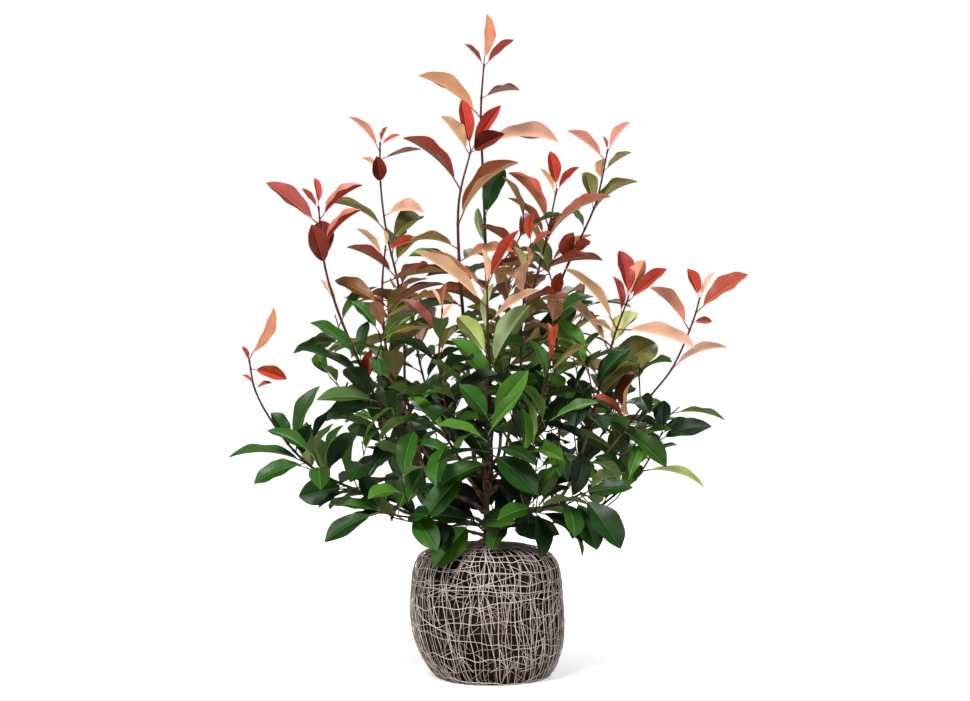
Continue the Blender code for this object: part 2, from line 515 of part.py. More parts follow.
def spiral_leaves(limb, label, stem, first, obstacles):
    """Leaves in a spiral from a distance back from the tip down to the foot, the rule for all others."""
    placed = []
    rng = random.Random(f"{limb.name} {label}")
    turn = rng.uniform(0, 2 * math.pi)
    back = first
    while back < stem.length - LAST_LEAF:
        point, along, _ = stem.at(stem.length - back)
        flush = limb.flush and label == "stem"
        age = leaf_age(back, flush)
        spread = at_age(LEAF_SPREAD, age) + math.radians(rng.uniform(-8, 8))
        length = at_age(LEAF_LENGTH, age) + rng.uniform(-1.0, 1.4) * CM
        sag = age * rng.uniform(*LEAF_SAG)
        rolls = rng.getstate()
        for swing, tilt, size in LEAF_SWINGS:
            rng.setstate(rolls)
            out = Matrix.Rotation(turn + math.radians(swing), 3, along) @ square_to(along, FRONT)
            lean = spread + math.radians(tilt)
            aim = (math.cos(lean) * along + math.sin(lean) * out - sag * UP).normalized()
            upper = rule_upper(aim, along, age, rng)
            leaf = shaped_leaf(point, aim, upper, length * size, age, flush, SPIRAL_SECTIONS, rng)
            tip = leaf.root + leaf.aim * leaf.length
            middle = leaf.root.lerp(tip, 0.6)
            if tip.z < LOWEST_LEAF or not (keeps_view_open(tip) and keeps_view_open(middle)):
                continue
            if leaf_is_clear(leaf, limb.name, obstacles):
                placed.append(leaf)
                obstacles.append(leaf_guard(leaf, limb.name))
                break
        turn += GOLDEN_TURN + math.radians(rng.uniform(-12, 12))
        back += at_age(LEAF_SPACING, age) * rng.uniform(0.85, 1.15)
    return placed


def side_twigs(limb, stem, obstacles):
    """Side twigs by a seeded rule: they fork off the leafy stem's older part and turn up."""
    twigs = []
    rng = random.Random(f"{limb.name} twigs")
    turn = rng.uniform(0, 2 * math.pi)
    bare_end = FLUSH_LENGTH if limb.flush else TIP_LENGTH
    reach = max(stem.length - bare_end, LEAST_TWIGGY_SHARE * stem.length)
    for k in range(limb.twigs):
        point, along, _ = stem.at(reach * (k + 0.4) / limb.twigs)
        length = TWIG_LENGTH * rng.uniform(0.8, 1.35)
        for swing in TWIG_SWINGS:
            out = Matrix.Rotation(turn + math.radians(swing), 3, along) @ square_to(along, FRONT)
            aim = (TWIG_LEAN * along + out).normalized()
            if aim.z < LOWEST_TWIG_SLOPE:
                continue
            tip = point + length * (aim + TWIG_RISE * UP).normalized()
            if not keeps_view_open(tip):
                continue
            line = tapering([point, point + 0.5 * length * aim, tip], TWIG_RADIUS, TWIG_TIP_RADIUS)
            guard = line.stretch(0.12 * line.length, line.length, TWIG_POINTS)
            if not touches(Obstacle(*tube(guard, TWIG_SIDES, CLEARANCE), limb.name), obstacles):
                twig = line.stretch(0, line.length, TWIG_POINTS)
                twigs.append(twig)
                obstacles.append(Obstacle(*tube(twig, TWIG_SIDES), limb.name))
                break
        turn += GOLDEN_TURN
    return twigs


def flared(spots):
    """The trunk's spots, widened at its foot by the root flare."""
    foot_height = spots[0][0].z
    rises = [max(0.0, 1 - (point.z - foot_height) / TRUNK_FLARE_HEIGHT) for point, _ in spots]
    return [(point, radius * (1 + TRUNK_FLARE * rise**2)) for (point, radius), rise in zip(spots, rises)]


class Growth:
    """One limb: its bare wood, and the stem, twigs and leaves of its mass of foliage."""

    def __init__(self, limb, parent):
        self.limb = limb
        points = [Vector(p) * CM for p in limb.course]
        if parent:
            points.insert(0, parent.wood.at(limb.fork * parent.course.length - parent.start)[0])
        self.course = tapering(points, limb.foot_mm * MM, TIP_RADIUS if parent else TRUNK_TIP_RADIUS)
        self.start = self.clear_start(parent.wood) if parent else 0.0
        leafy = max(limb.leafy * self.course.length, self.start)
        self.wood = self.course.stretch(self.start, leafy, BOUGH_POINTS) if limb.leafy > 0 else None
        self.stem = self.course.stretch(leafy, self.course.length, STEM_POINTS) if parent else None
        if not parent:
            self.wood = Course(flared(self.wood.spots))
        if self.wood and self.stem:
            bend = self.wood.at(self.wood.length)[1].angle(self.stem.at(0)[1])
            leafy += JOINT_GAP + self.stem.at(0)[2] * math.sin(bend)
            self.stem = self.course.stretch(leafy, self.course.length, STEM_POINTS)
        self.twigs = []
        self.leaves = []

    def clear_start(self, wood):
        """How far up its course the limb stands clear of its parent."""
        parent = Obstacle(*tube(wood, ROUND_SIDES), "parent")
        end, count = self.limb.leafy * self.course.length, BOUGH_POINTS
        if self.limb.leafy == 0:
            end, count = self.course.length, STEM_POINTS
        start = CLEAR_STEP
        while touches(Obstacle(*tube(self.course.stretch(start, end, count), ROUND_SIDES), "limb"), [parent]):
            start += CLEAR_STEP
        return start + FORK_GAP


def grow():
    """Every limb, with its foliage clear of all the others, the leaves that stand out first."""
    growths = {TRUNK.name: Growth(TRUNK, None)}
    for limb in LIMBS:
        growths[limb.name] = Growth(limb, growths[limb.parent])
    obstacles = [Obstacle(*ball_shape(CLEARANCE), "root ball")]
    for name, growth in growths.items():
        if growth.wood:
            obstacles.append(Obstacle(*tube(growth.wood, WOOD_SIDES), "wood"))
        if growth.stem:
            obstacles.append(Obstacle(*tube(growth.stem, TWIG_SIDES), name))
    masses = [growth for growth in growths.values() if growth.stem]
    for mass in masses:
        mass.leaves += listed_leaves(mass.limb, mass.stem, obstacles)
    for mass in masses:
        mass.twigs += side_twigs(mass.limb, mass.stem, obstacles)
    for mass in masses:
        listed = [row[0] * CM + LEAF_SPACING[1] for row in mass.limb.leaves]
        first = max(listed, default=FIRST_LEAF)
        mass.leaves += spiral_leaves(mass.limb, "stem", mass.stem, first, obstacles)
    for mass in masses:
        for k, twig in enumerate(mass.twigs):
            mass.leaves += spiral_leaves(mass.limb, f"twig {k}", twig, FIRST_LEAF, obstacles)
    return growths


def ball_shape(margin=0.0):
    """(points, faces) of the root ball, before its underside is cut flat."""
    shape = bmesh.new()
    bmesh.ops.create_uvsphere(shape, u_segments=BALL_SEGMENTS, v_segments=BALL_RINGS, radius=1)
    for vert in shape.verts:
        x, y, z = vert.co
        across = math.hypot(x, y)
        turn = math.atan2(y, x)
        power = BALL_UPPER_SQUARENESS if z > 0 else BALL_LOWER_SQUARENESS
        square = (across**power + abs(z) ** power) ** (-1 / power)
        reach = BALL_HEIGHT - BALL_WIDEST_AT if z > 0 else BALL_LOWER_REACH
        lump = 1 + BALL_LUMP * (math.sin(3 * turn + 1) + 0.7 * math.sin(2 * turn - 5 * z))
        radial = across * square * BALL_RADIUS * lump + margin
        height = BALL_WIDEST_AT + z * square * reach + (margin if z > 0 else 0)
        shift = BALL_FOOT_SHIFT * max(0.0, 1 - height / BALL_WIDEST_AT) ** 1.5 - BALL_SIDE_SHIFT
        vert.co = (
            radial * math.cos(turn) + shift,
            radial * math.sin(turn) * BALL_DEPTH_SHARE,
            height,
        )
    points = [v.co.copy() for v in shape.verts]
    faces = [tuple(v.index for v in f.verts) for f in shape.faces]
    shape.free()
    return points, faces


def material(name, colour, roughness):
    """A plain material of one colour."""
    made = bpy.data.materials.new(name)
    made.use_nodes = True
    shader = made.node_tree.nodes["Principled BSDF"]
    shader.inputs["Base Color"].default_value = (*colour, 1)
    shader.inputs["Roughness"].default_value = roughness
    shader.inputs["Metallic"].default_value = 0.0
    return made


def mesh_object(name, shape, collection):
    """An object of a shape's (points, faces)."""
    mesh = bpy.data.meshes.new(name)
    mesh.from_pydata([tuple(p) for p in shape[0]], [], shape[1])
    made = bpy.data.objects.new(name, mesh)
    collection.objects.link(made)
    return made


def build_ball(collection, finish):
    """The root ball, cut flat underneath so that it stands."""
    ball = mesh_object("root_ball", ball_shape(), collection)
    shape = bmesh.new()
    shape.from_mesh(ball.data)
    cut = bmesh.ops.bisect_plane(
        shape, geom=[*shape.verts, *shape.edges, *shape.faces], plane_co=(0, 0, 0), plane_no=(0, 0, -1),
        clear_outer=True,
    )
    rim = [e for e in cut["geom_cut"] if isinstance(e, bmesh.types.BMEdge)]
    bmesh.ops.contextual_create(shape, geom=rim)
    bmesh.ops.recalc_face_normals(shape, faces=shape.faces)
    shape.to_mesh(ball.data)
    shape.free()
    ball.data.materials.append(finish)
    ball.data.shade_smooth()
    ball.data.set_sharp_from_angle(angle=math.radians(40))


def build_wood(name, spots, bevel_resolution, collection, finish):
    """One tapering limb: a curve with a round bevel, whose points carry the radius."""
    curve = bpy.data.curves.new(name, "CURVE")
    curve.dimensions = "3D"
    curve.bevel_depth = 1.0
    curve.bevel_resolution = bevel_resolution
    curve.use_fill_caps = True
    spline = curve.splines.new("POLY")
    spline.points.add(len(spots) - 1)
    for control, (centre, radius) in zip(spline.points, spots):
        control.co = (*centre, 1)
        control.radius = radius
    curve.materials.append(finish)
    made = bpy.data.objects.new(name, curve)
    collection.objects.link(made)


def build_mass(growth, collection, finish):
    """One mass: its stem, with the side twigs and leaves joined to it by one Boolean union."""
    stem = mesh_object(f"foliage_{growth.limb.name}", tube(growth.stem, TWIG_SIDES), collection)
    pieces = bpy.data.collections.new("pieces")
    for k, twig in enumerate(growth.twigs):
        mesh_object(f"twig_{k}", tube(twig, TWIG_SIDES), pieces)
    for k, leaf in enumerate(growth.leaves):
        mesh_object(f"leaf_{k}", leaf_solid(leaf, leaf.sections), pieces)
    join = stem.modifiers.new("join", "BOOLEAN")
    join.operation = "UNION"
    join.solver = "MANIFOLD"
    join.operand_type = "COLLECTION"
    join.collection = pieces
    graph = bpy.context.evaluated_depsgraph_get()
    joined = bpy.data.meshes.new_from_object(stem.evaluated_get(graph))
    stem.modifiers.clear()
    stem.data = joined
    for piece in list(pieces.objects):
        bpy.data.objects.remove(piece)
    bpy.data.collections.remove(pieces)
    joined.materials.clear()
    joined.materials.append(finish)


def build():
    """The whole plant, in a collection of its own."""
    for old in list(bpy.data.objects):
        bpy.data.objects.remove(old)
    collection = bpy.data.collections.new("photinia_red_robin")
    bpy.context.scene.collection.children.link(collection)

    soil = material("netted_soil", (0.10, 0.075, 0.06), 0.95)
    bark = material("red_brown_bark", (0.11, 0.045, 0.035), 0.6)
    red_leaf = material("red_flush_leaf", (0.42, 0.11, 0.06), 0.4)
    green_leaf = material("deep_green_leaf", (0.04, 0.15, 0.04), 0.35)

    build_ball(collection, soil)
    for name, growth in grow().items():
        if growth.limb is TRUNK:
            build_wood("trunk", growth.wood.spots, TRUNK_BEVEL, collection, bark)
        elif growth.wood:
            build_wood(f"bough_{name}", growth.wood.spots, BOUGH_BEVEL, collection, bark)
        if growth.stem:
            build_mass(growth, collection, red_leaf if growth.limb.flush else green_leaf)


build()
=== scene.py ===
"""Photinia Red Robin on its netted root ball: the looks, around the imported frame.

The limbs, twigs and leaves grow here by the same rule as in the solids, with the same seeds, and each is
then made finer: round bark with relief, thin arched leaves with a midrib, side veins and toothed edges.
"""

import json
import math
import random
from collections import namedtuple

import bmesh
import bpy
import numpy as np
from mathutils import Matrix, Vector, noise
from mathutils.bvhtree import BVHTree

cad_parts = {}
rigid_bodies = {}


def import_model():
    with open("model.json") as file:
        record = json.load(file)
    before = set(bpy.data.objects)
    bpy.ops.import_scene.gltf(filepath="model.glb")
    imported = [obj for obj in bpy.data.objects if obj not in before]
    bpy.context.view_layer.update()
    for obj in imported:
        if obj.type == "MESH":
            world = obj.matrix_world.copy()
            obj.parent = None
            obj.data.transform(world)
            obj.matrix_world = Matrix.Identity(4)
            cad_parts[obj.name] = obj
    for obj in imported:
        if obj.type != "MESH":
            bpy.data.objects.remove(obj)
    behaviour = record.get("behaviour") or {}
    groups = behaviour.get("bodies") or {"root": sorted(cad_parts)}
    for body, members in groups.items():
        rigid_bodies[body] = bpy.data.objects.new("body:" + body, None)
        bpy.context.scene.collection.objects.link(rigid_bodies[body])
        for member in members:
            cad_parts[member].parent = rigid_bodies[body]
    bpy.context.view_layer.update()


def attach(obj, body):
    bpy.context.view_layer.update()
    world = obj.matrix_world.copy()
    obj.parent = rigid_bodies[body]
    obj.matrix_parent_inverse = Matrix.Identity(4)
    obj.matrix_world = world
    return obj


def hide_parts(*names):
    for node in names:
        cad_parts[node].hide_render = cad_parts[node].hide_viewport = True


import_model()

CM = 0.01
MM = 0.001
UP = Vector((0, 0, 1))
FRONT = Vector((0.2, -1, 0.1))
SEAM = Vector((0.3, -0.9, 0.2))
NEARLY_PARALLEL = 0.05

# The root ball
BALL_HEIGHT = 21.5 * CM
BALL_RADIUS = 12.3 * CM
BALL_WIDEST_AT = 13.0 * CM
BALL_LOWER_REACH = 15.8 * CM
BALL_UPPER_SQUARENESS = 3.6
BALL_LOWER_SQUARENESS = 2.8
BALL_DEPTH_SHARE = 0.96
BALL_FOOT_SHIFT = 1.1 * CM
BALL_SIDE_SHIFT = 0.3 * CM
BALL_LUMP = 0.022
BALL_FOOT_POWER = 1.5
BALL_SEGMENTS = 28
BALL_RINGS = 14

# Wood
JOINT_GAP = 0.3 * MM
FORK_GAP = 0.15 * MM
CLEAR_STEP = 0.1 * MM
ROUND_SIDES = 24
TRUNK_FLARE = 0.45
TRUNK_FLARE_HEIGHT = 2.2 * CM
TRUNK_TIP_RADIUS = 4.0 * MM
TIP_RADIUS = 1.3 * MM
TAPER_POWER = 0.8
COURSE_STEPS = 12
WOOD_SIDES = 8
BOUGH_POINTS = 7
STEM_POINTS = 9
TWIG_SIDES = 3
TWIG_POINTS = 4
TWIG_RADIUS = 1.3 * MM
TWIG_TIP_RADIUS = 0.9 * MM
TWIG_LENGTH = 9 * CM
TWIG_LEAN = 0.8
TWIG_RISE = 0.3
TWIG_LENGTHS = (0.8, 1.35)
TWIG_BEND_AT = 0.5
TWIG_GUARD_STARTS = 0.12
FIRST_TWIG = 0.4
LOWEST_TWIG_SLOPE = -0.2
FLUSH_LENGTH = 22 * CM
TIP_LENGTH = 5 * CM
LEAST_TWIGGY_SHARE = 0.3

# Leaves, where a pair is the value on a shoot's tip and on old wood
GOLDEN_TURN = math.radians(137.5)
LEAF_SPACING = (1.0 * CM, 2.0 * CM)
LEAF_LENGTH = (5.2 * CM, 9.8 * CM)
LEAF_SPREAD = (math.radians(24), math.radians(62))
LEAF_SAG = (0.0, 0.42)
LEAF_ROLL = (math.radians(13), math.radians(32))
LEAF_WIDTH_SHARE = (0.37, 0.49)
LEAF_FACES_SKY = (0.15, 0.7)
LEAF_BEND = (math.radians(14), math.radians(48))
FLUSH_FOLD = (math.radians(46), math.radians(34))
GREEN_FOLD = (math.radians(30), math.radians(18))
LEAF_OVERLENGTH = 1.03
LEAST_BEND = 0.01
BLADE_SKEW = 1.12
BLADE_FULLNESS = 0.72
LEAF_THICKNESS = 1.3 * MM
PETIOLE_SHARE = 0.16
LOWEST_LEAF = 20.5 * CM
FIRST_LEAF = 0.4 * CM
LAST_LEAF = 0.8 * CM
FLUSH_YOUNGEST = 0.15
FLUSH_AGEING = 14 * CM
GREEN_YOUNGEST = 0.55
GREEN_AGEING = 9 * CM
CLEARANCE = 1.0 * MM
BLADE_STARTS = 0.2
LISTED_SECTIONS = (0.27, 0.68)
SPIRAL_SECTIONS = (0.45,)
GUARD_SECTIONS = (0.18, 0.45, 0.72)
LEAF_MIDDLE = 0.6

# How far one leaf may differ from the next: angles in degrees, lengths in centimetres, the rest shares
WIDTH_SCATTER = (-0.03, 0.03)
BEND_SCATTER = (-10, 12)
FOLD_SCATTER = (-6, 6)
SPREAD_SCATTER = (-8, 8)
LENGTH_SCATTER = (-1.0, 1.4)
TURN_SCATTER = (-12, 12)
SPACING_SCATTER = (0.85, 1.15)

# Turns tried in order where a leaf or twig is in another's way: for a listed leaf in the front view and
# towards the front, for another leaf round its stem and away from it with a share of its length, and for
# a twig round its stem, all in degrees
LISTED_SWINGS = ((0, 0), (0, 14), (0, -14), (4, 28), (-4, -28), (0, 42), (0, -42), (12, 10), (-12, -10))
LEAF_SWINGS = (
    (0, 0, 1), (20, 0, 1), (-20, 0, 1), (0, 18, 0.95), (0, -16, 0.95), (40, 0, 0.9), (-40, 0, 0.9),
    (60, 10, 0.85), (-60, 10, 0.85), (20, 22, 0.75), (-20, -14, 0.75), (90, 0, 0.75), (-90, 0, 0.75),
)
TWIG_SWINGS = (0, 30, -30, 60, -60, 90, -90, 120)

# Where the sky shows between the shoots in the front view: (right, up, radius) in centimetres. The
# leaves of the rule keep out.
OPENINGS = (
    (-22.1, 65.7, 3.4), (-28.2, 63.6, 3.4), (-29.6, 56.7, 3.6), (-29.9, 48.8, 3.8), (-12.2, 50.1, 3.0),
    (-4.9, 74.4, 3.6), (2.6, 72.5, 3.6), (-7.8, 73.6, 3.4), (16.1, 67.9, 2.6), (21.5, 64.9, 3.2),
    (33.6, 48.6, 4.2), (28.7, 47.9, 2.6), (33.5, 36.2, 3.6), (32.0, 28.0, 4.4), (25.2, 24.7, 4.0),
    (-34.2, 30.5, 3.8), (-28.9, 23.9, 3.6), (-13.5, 23.1, 2.8), (27.7, 31.1, 2.8), (-20.3, 56.6, 2.6),
    (-22.9, 48.2, 2.2), (-5.5, 69.8, 2.2), (37.5, 45.7, 3.4), (33.4, 41.6, 2.0), (-33.0, 26.0, 3.2),
    (-26.0, 21.4, 2.8), (-20.5, 21.8, 3.2), (-23.0, 33.7, 1.8),
)

# Where the bare trunk shows, in the same measures: leaves in front of it keep out.
TRUNK_VIEWS = ((-0.6, 24.4, 1.8), (-0.8, 27.4, 2.0), (-0.9, 30.4, 2.0), (-0.8, 33.0, 1.8))

# name, parent, share of the parent's course where it forks, course in centimetres (right, away, up),
# share of its course where its foliage begins, radius at the foot in millimetres, how many side twigs,
# whether its tip is in red flush, and the leaves that stand out: (centimetres back from the tip, angle
# in the front view from right through up, degrees its tip is turned towards the front, degrees its upper
# side is turned towards the front, length in centimetres, breadth as a share of the usual).
Limb = namedtuple("Limb", "name parent fork course leafy foot_mm twigs flush leaves")

TRUNK_FOOT = (0, 0, (BALL_HEIGHT + JOINT_GAP) / CM)
TRUNK = Limb("trunk", None, 0, (TRUNK_FOOT, (-0.1, 0, 28), (-0.4, 0, 35)), 1.0, 5.8, 0, False, ())

LIMBS = (
    Limb("lead", "trunk", 1.0,
         ((-0.2, 1, 40), (0, 2, 46), (0, 3, 61.5), (-0.5, 3, 78.5), (-1, 2, 93), (-0.5, 1, 100.5)),
         0.34, 3.8, 1, True,
         ((0.1, 86, 10, -120, 8.0, 1.15), (0.2, 132, 0, 30, 4.6, 1.0), (0.4, 43, -12, 55, 6.8, 1.0),
          (5.6, 11, 5, 14, 6.4, 1.3), (8.9, 146, 0, -30, 12.4, 1.0), (13.5, 3, 0, -20, 12.8, 1.25),
          (25.6, 68, -18, 70, 9.0, 1.1), (30, 103, 10, -100, 6.6, 0.6))),
    Limb("left_lead", "trunk", 0.82,
         ((-1.8, -0.8, 34.6), (-2.4, -1.4, 42), (-3.5, -4, 55), (-4.5, -6, 68), (-4.5, -6, 77.5),
          (-2.6, -4, 85.8)),
         0.5, 4.4, 0, True,
         ((0.1, 103, 5, 75, 8.2, 1.3), (0.4, 57, 10, 75, 8.8, 1.2), (0.6, 28, 35, 75, 7.4, 1.8),
          (0.8, 129, 15, -25, 8.2, 1.3), (7.0, 139, 5, 25, 12.4, 1.0), (12.9, 46, 10, 18, 14.2, 1.25))),
    Limb("left_main", "trunk", 0.38,
         ((-2.6, -1.4, 28.6), (-7.5, -3, 31), (-11, -4, 35.5), (-17, -5, 44), (-21, -6, 52.5), (-24, -7, 60),
          (-26, -7, 67), (-27, -7, 76.5)),
         0.33, 4.0, 4, True,
         ((0.1, 98, 0, 60, 4.6, 1.3), (0.5, 130, 0, 60, 4.2, 1.0), (2.2, 39, 5, 25, 8.8, 1.2),
          (3.2, 142, 8, 55, 10.7, 1.2), (7.0, 45, 8, 20, 9.0, 1.1), (9.4, 96, -22, 80, 7.7, 1.3),
          (9.9, 108, 20, 75, 7.4, 1.3), (16.5, 120, 5, -50, 5.3, 0.6), (26, 141, 5, 30, 10.2, 1.0),
          (26.5, 78, -10, 60, 7.2, 1.0), (29.5, 82, 30, 70, 6.0, 1.0), (31, 151, 5, 12, 13.2, 0.8),
          (33.3, 177, 20, 50, 10.4, 0.8), (34.5, 192, 25, 45, 9.4, 1.2))),
    Limb("left_tall", "left_main", 0.16,
         ((-7.6, 0, 32.5), (-11, 3.5, 38), (-13.5, 6, 46), (-14, 8, 55), (-15, 9, 64.5), (-17, 9, 73.5),
          (-18, 9, 82), (-18, 8, 88.5)),
         0.36, 2.8, 1, True,
         ((0.2, 65, 0, 50, 2.9, 1.3), (0.6, 27, -10, -30, 3.8, 1.0), (1.6, 132, 5, -15, 7.6, 0.9),
          (3.0, 14, 0, 10, 7.1, 0.8), (4.9, 145, 10, -30, 3.7, 1.2), (7.2, 100, 30, 80, 5.2, 1.6),
          (12.5, 5, 0, -30, 6.8, 1.5), (15.3, 155, 5, 12, 11.7, 0.8), (17.4, 44, -26, 65, 9.6, 1.2))),
    Limb("left_mid", "left_main", 0.24,
         ((-11, -1.8, 36.5), (-13.6, -1, 44.5), (-16, -1.2, 51), (-17, -2, 60), (-17, -2, 65.5),
          (-16.5, -2, 70.5)),
         0.34, 3.2, 2, True,
         ((0.3, 95, 20, -40, 2.8, 1.4), (0.9, 18, 5, 60, 5.6, 1.3), (2.2, 133, 8, -20, 6.5, 1.0),
          (6.2, 9, 5, 14, 10.8, 1.1), (10, 153, -12, 50, 9.2, 1.0), (11, 25, -14, 10, 11.4, 0.7),
          (13, 51, -28, 70, 9.8, 1.25))),
    Limb("far_left", "trunk", 0.1,
         ((-1.8, -0.9, 23.5), (-5.5, -2.8, 24.6), (-12.5, -5, 27), (-17.5, -6, 29.5), (-26, -7, 33.3),
          (-30, -8, 36.5), (-34, -8, 41.5), (-37, -8, 47), (-38, -8, 52)),
         0.36, 3.0, 3, True,
         ((0.1, 62, 5, -120, 9.0, 1.1), (0.5, 115, 0, 50, 2.7, 1.2), (1.6, -15, 5, 70, 6.0, 1.6),
          (4.0, 140, 0, -30, 2.2, 1.2), (4.9, 20, 0, 40, 2.8, 1.2), (15.5, 122, 0, 50, 6.0, 1.3),
          (17, 71, -5, 50, 11.2, 0.8), (18.5, 74, 25, 60, 6.4, 1.3), (20, 174, 0, 14, 13.0, 0.8),
          (19.5, 200, 10, 50, 9.0, 1.0), (23, 50, 10, 55, 8.6, 1.3), (27, 189, 15, 85, 8.0, 1.5))),
    Limb("right_main", "trunk", 0.33,
         ((2.4, 0.5, 26.9), (6, 1, 26.8), (10.5, 2, 27.6), (14, 2, 32), (16.5, 1, 39.5), (18.5, 0, 47.5),
          (21, -2, 56.5), (23, -3, 62)),
         0.5, 3.8, 4, True,
         ((0.2, 97, -18, 75, 8.2, 1.35), (0.6, 66, 5, -75, 7.0, 1.6), (1.0, 40, 0, 60, 8.4, 1.1),
          (3.2, 101, -5, 40, 6.4, 1.0), (5.6, -14, 5, -22, 12.8, 1.05), (5.6, 132, 8, -10, 13.2, 0.8),
          (6.4, 155, 25, -10, 5.4, 1.0), (9.2, 50, 15, -45, 7.6, 1.5), (9.6, 134, 5, -12, 12.0, 0.8),
          (15.4, 38, -20, 70, 12.6, 1.25), (18.4, 40, -38, 65, 12.4, 1.2), (14.5, 150, 10, -10, 9.8, 0.9))),
    Limb("right_far", "right_main", 0.36,
         ((16.4, 1.2, 34.2), (19.5, 0.5, 36.5), (22, 1, 39.5), (27, 1, 46), (30.5, 1, 50.5), (34, 1, 58.5),
          (35, 1, 62)),
         0.28, 2.2, 2, True,
         ((0.1, 112, 5, 70, 5.2, 1.7), (2.6, 34, 0, 45, 10.6, 1.2), (0.8, 62, 0, -30, 5.6, 0.9),
          (4.2, 5, 10, 70, 3.2, 1.5), (5.6, 134, 5, -30, 9.6, 1.2), (12.8, 22, 5, -10, 9.9, 0.9),
          (23.5, 87, 22, 10, 9.6, 1.3), (24.9, 137, 10, 20, 8.8, 0.8), (25.6, -40, 25, 60, 9.6, 1.1))),
    Limb("right_back", "right_main", 0.24,
         ((10.8, 4.2, 30), (12.2, 8, 40), (11.8, 11.5, 53.5), (12.5, 12, 64.5), (15.5, 11, 71.5),
          (18.5, 10, 78.5), (20.5, 10, 87.5)),
         0.4, 2.9, 2, True,
         ((0.2, 110, 0, 40, 2.4, 1.2), (0.5, 52, 0, -20, 6.2, 1.3), (2.0, 142, 5, -20, 8.0, 1.3),
          (3.8, 33, 10, 12, 5.5, 1.2), (5.5, 88, 35, -60, 4.2, 1.3), (10.5, 103, -25, 70, 7.4, 1.1),
          (11.5, 35, 0, 14, 9.8, 1.25), (14.2, 130, 20, 40, 4.4, 1.2), (19, 37, 10, 60, 3.8, 1.8),
          (21, 79, 20, 60, 6.0, 1.4), (26.6, 88, 20, 65, 4.4, 1.5))),
    Limb("right_mid", "trunk", 0.9,
         ((1.7, 0.8, 35.7), (2.4, 1, 42), (3.5, 1, 51), (7, 1, 61.5), (9.5, 1, 70.5), (11.5, 1, 80)),
         0.4, 3.0, 1, True,
         ((0.1, 101, 8, 80, 6.2, 1.5), (0.5, 48, 12, 60, 5.4, 1.1), (1.0, 122, -8, -30, 4.9, 1.0),
          (6.0, 24, 8, 5, 10.8, 1.2), (6.6, 127, 5, 15, 11.2, 1.25), (8.6, 131, -15, 15, 9.6, 0.8),
          (9.6, 47, -12, 15, 9.8, 1.0), (14.2, 11, 8, 15, 10.8, 1.2), (17, 160, 25, -30, 8.0, 1.0))),
    Limb("right_inner", "trunk", 0.74,
         ((1.8, -1.6, 33.4), (3.6, -2.8, 40), (5.3, -4, 49), (5.6, -4, 57.5), (6.5, -4, 66.5), (7, -4, 70.5)),
         0.42, 2.6, 2, True,
         ((0.1, 86, -12, 60, 5.4, 1.6), (0.4, 35, 10, 40, 4.2, 1.2), (3.3, 141, 0, 15, 10.0, 1.1),
          (4.2, 92, 40, -40, 4.8, 1.0), (5.6, 112, 10, -50, 5.8, 1.1), (9, 84, 15, -50, 8.0, 1.0))),
    Limb("front_lead", "trunk", 0.95,
         ((0.1, -1.9, 36.2), (0.2, -4, 41), (0.5, -8, 48.5), (0.1, -11, 56.5), (0, -13, 63.6)),
         0.27, 4.2, 1, True,
         ((0.1, 60, 15, 50, 10.0, 0.95), (0.4, 99, 10, -40, 6.0, 1.1), (0.7, 145, 5, -5, 10.6, 0.75),
          (3.6, 143, 8, -14, 14.2, 0.9), (6.4, 33, 0, -10, 9.8, 0.9), (8.1, 82, -25, -40, 9.0, 0.8),
          (12.1, 125, 25, -75, 9.0, 1.0), (14.2, 58, 5, -65, 12.2, 0.95), (18.1, 125, 12, 50, 12.0, 0.9))),
    Limb("back_lead", "trunk", 0.66,
         ((0.3, 2.2, 31.8), (0.6, 5, 37), (2, 9, 47), (3, 13, 57), (4, 17, 66)),
         0.4, 2.8, 2, True,
         ((0.2, 95, -5, 30, 7.0, 1.0), (0.7, 150, -20, -40, 6.5, 1.0), (1.2, 40, 20, 20, 7.5, 1.0))),
    Limb("back_left", "trunk", 0.5,
         ((-1.4, 1.8, 29.7), (-4, 6, 34), (-9, 12, 43), (-12, 17, 53), (-13, 21, 60)),
         0.35, 2.8, 3, True, ()),
    Limb("back_right", "trunk", 0.56,
         ((1.5, 1.7, 30.6), (5, 7, 35), (10, 15, 43), (13, 20, 52), (15, 24, 59)),
         0.35, 2.8, 3, True, ()),
    Limb("back_low_left", "trunk", 0.2,
         ((-1.6, 1.6, 25.5), (-6, 8, 27), (-12, 15, 31), (-17, 20, 37), (-20, 23, 44)),
         0.35, 2.6, 4, False, ()),
    Limb("back_low_right", "trunk", 0.28,
         ((1.5, 1.8, 26.6), (6, 9, 28), (13, 16, 32), (19, 20, 37), (23, 23, 44)),
         0.35, 2.6, 4, False, ()),
    Limb("front_left", "trunk", 0.56,
         ((-1.5, -2, 30.6), (-4, -6, 34.5), (-6, -10, 42), (-7.5, -13, 51), (-7, -14, 60)),
         0.34, 2.6, 4, True,
         ((0.1, 118, 5, -45, 3.6, 0.8), (0.5, 82, 10, 40, 4.2, 0.8), (2.5, 60, 20, -40, 3.8, 1.0))),
    Limb("front_right", "trunk", 0.62,
         ((1.6, -2, 31.4), (4.5, -6, 36), (8, -10, 44), (10.5, -12.5, 54)),
         0.36, 2.6, 4, True,
         ((0.1, 80, 5, 60, 3.6, 1.2), (0.5, 100, 15, -60, 4.2, 1.2), (3.0, 95, 25, 40, 5.2, 1.0))),
    Limb("front_low", "trunk", 0.44,
         ((0.2, -2.2, 29), (0.6, -8, 32), (0.8, -14, 37), (0.4, -17, 43)),
         0.4, 2.4, 4, False,
         ((0.4, 50, 15, 70, 9.8, 1.2), (0.8, 128, 20, 60, 8.0, 1.1), (8.4, 205, 8, 50, 9.0, 1.1))),
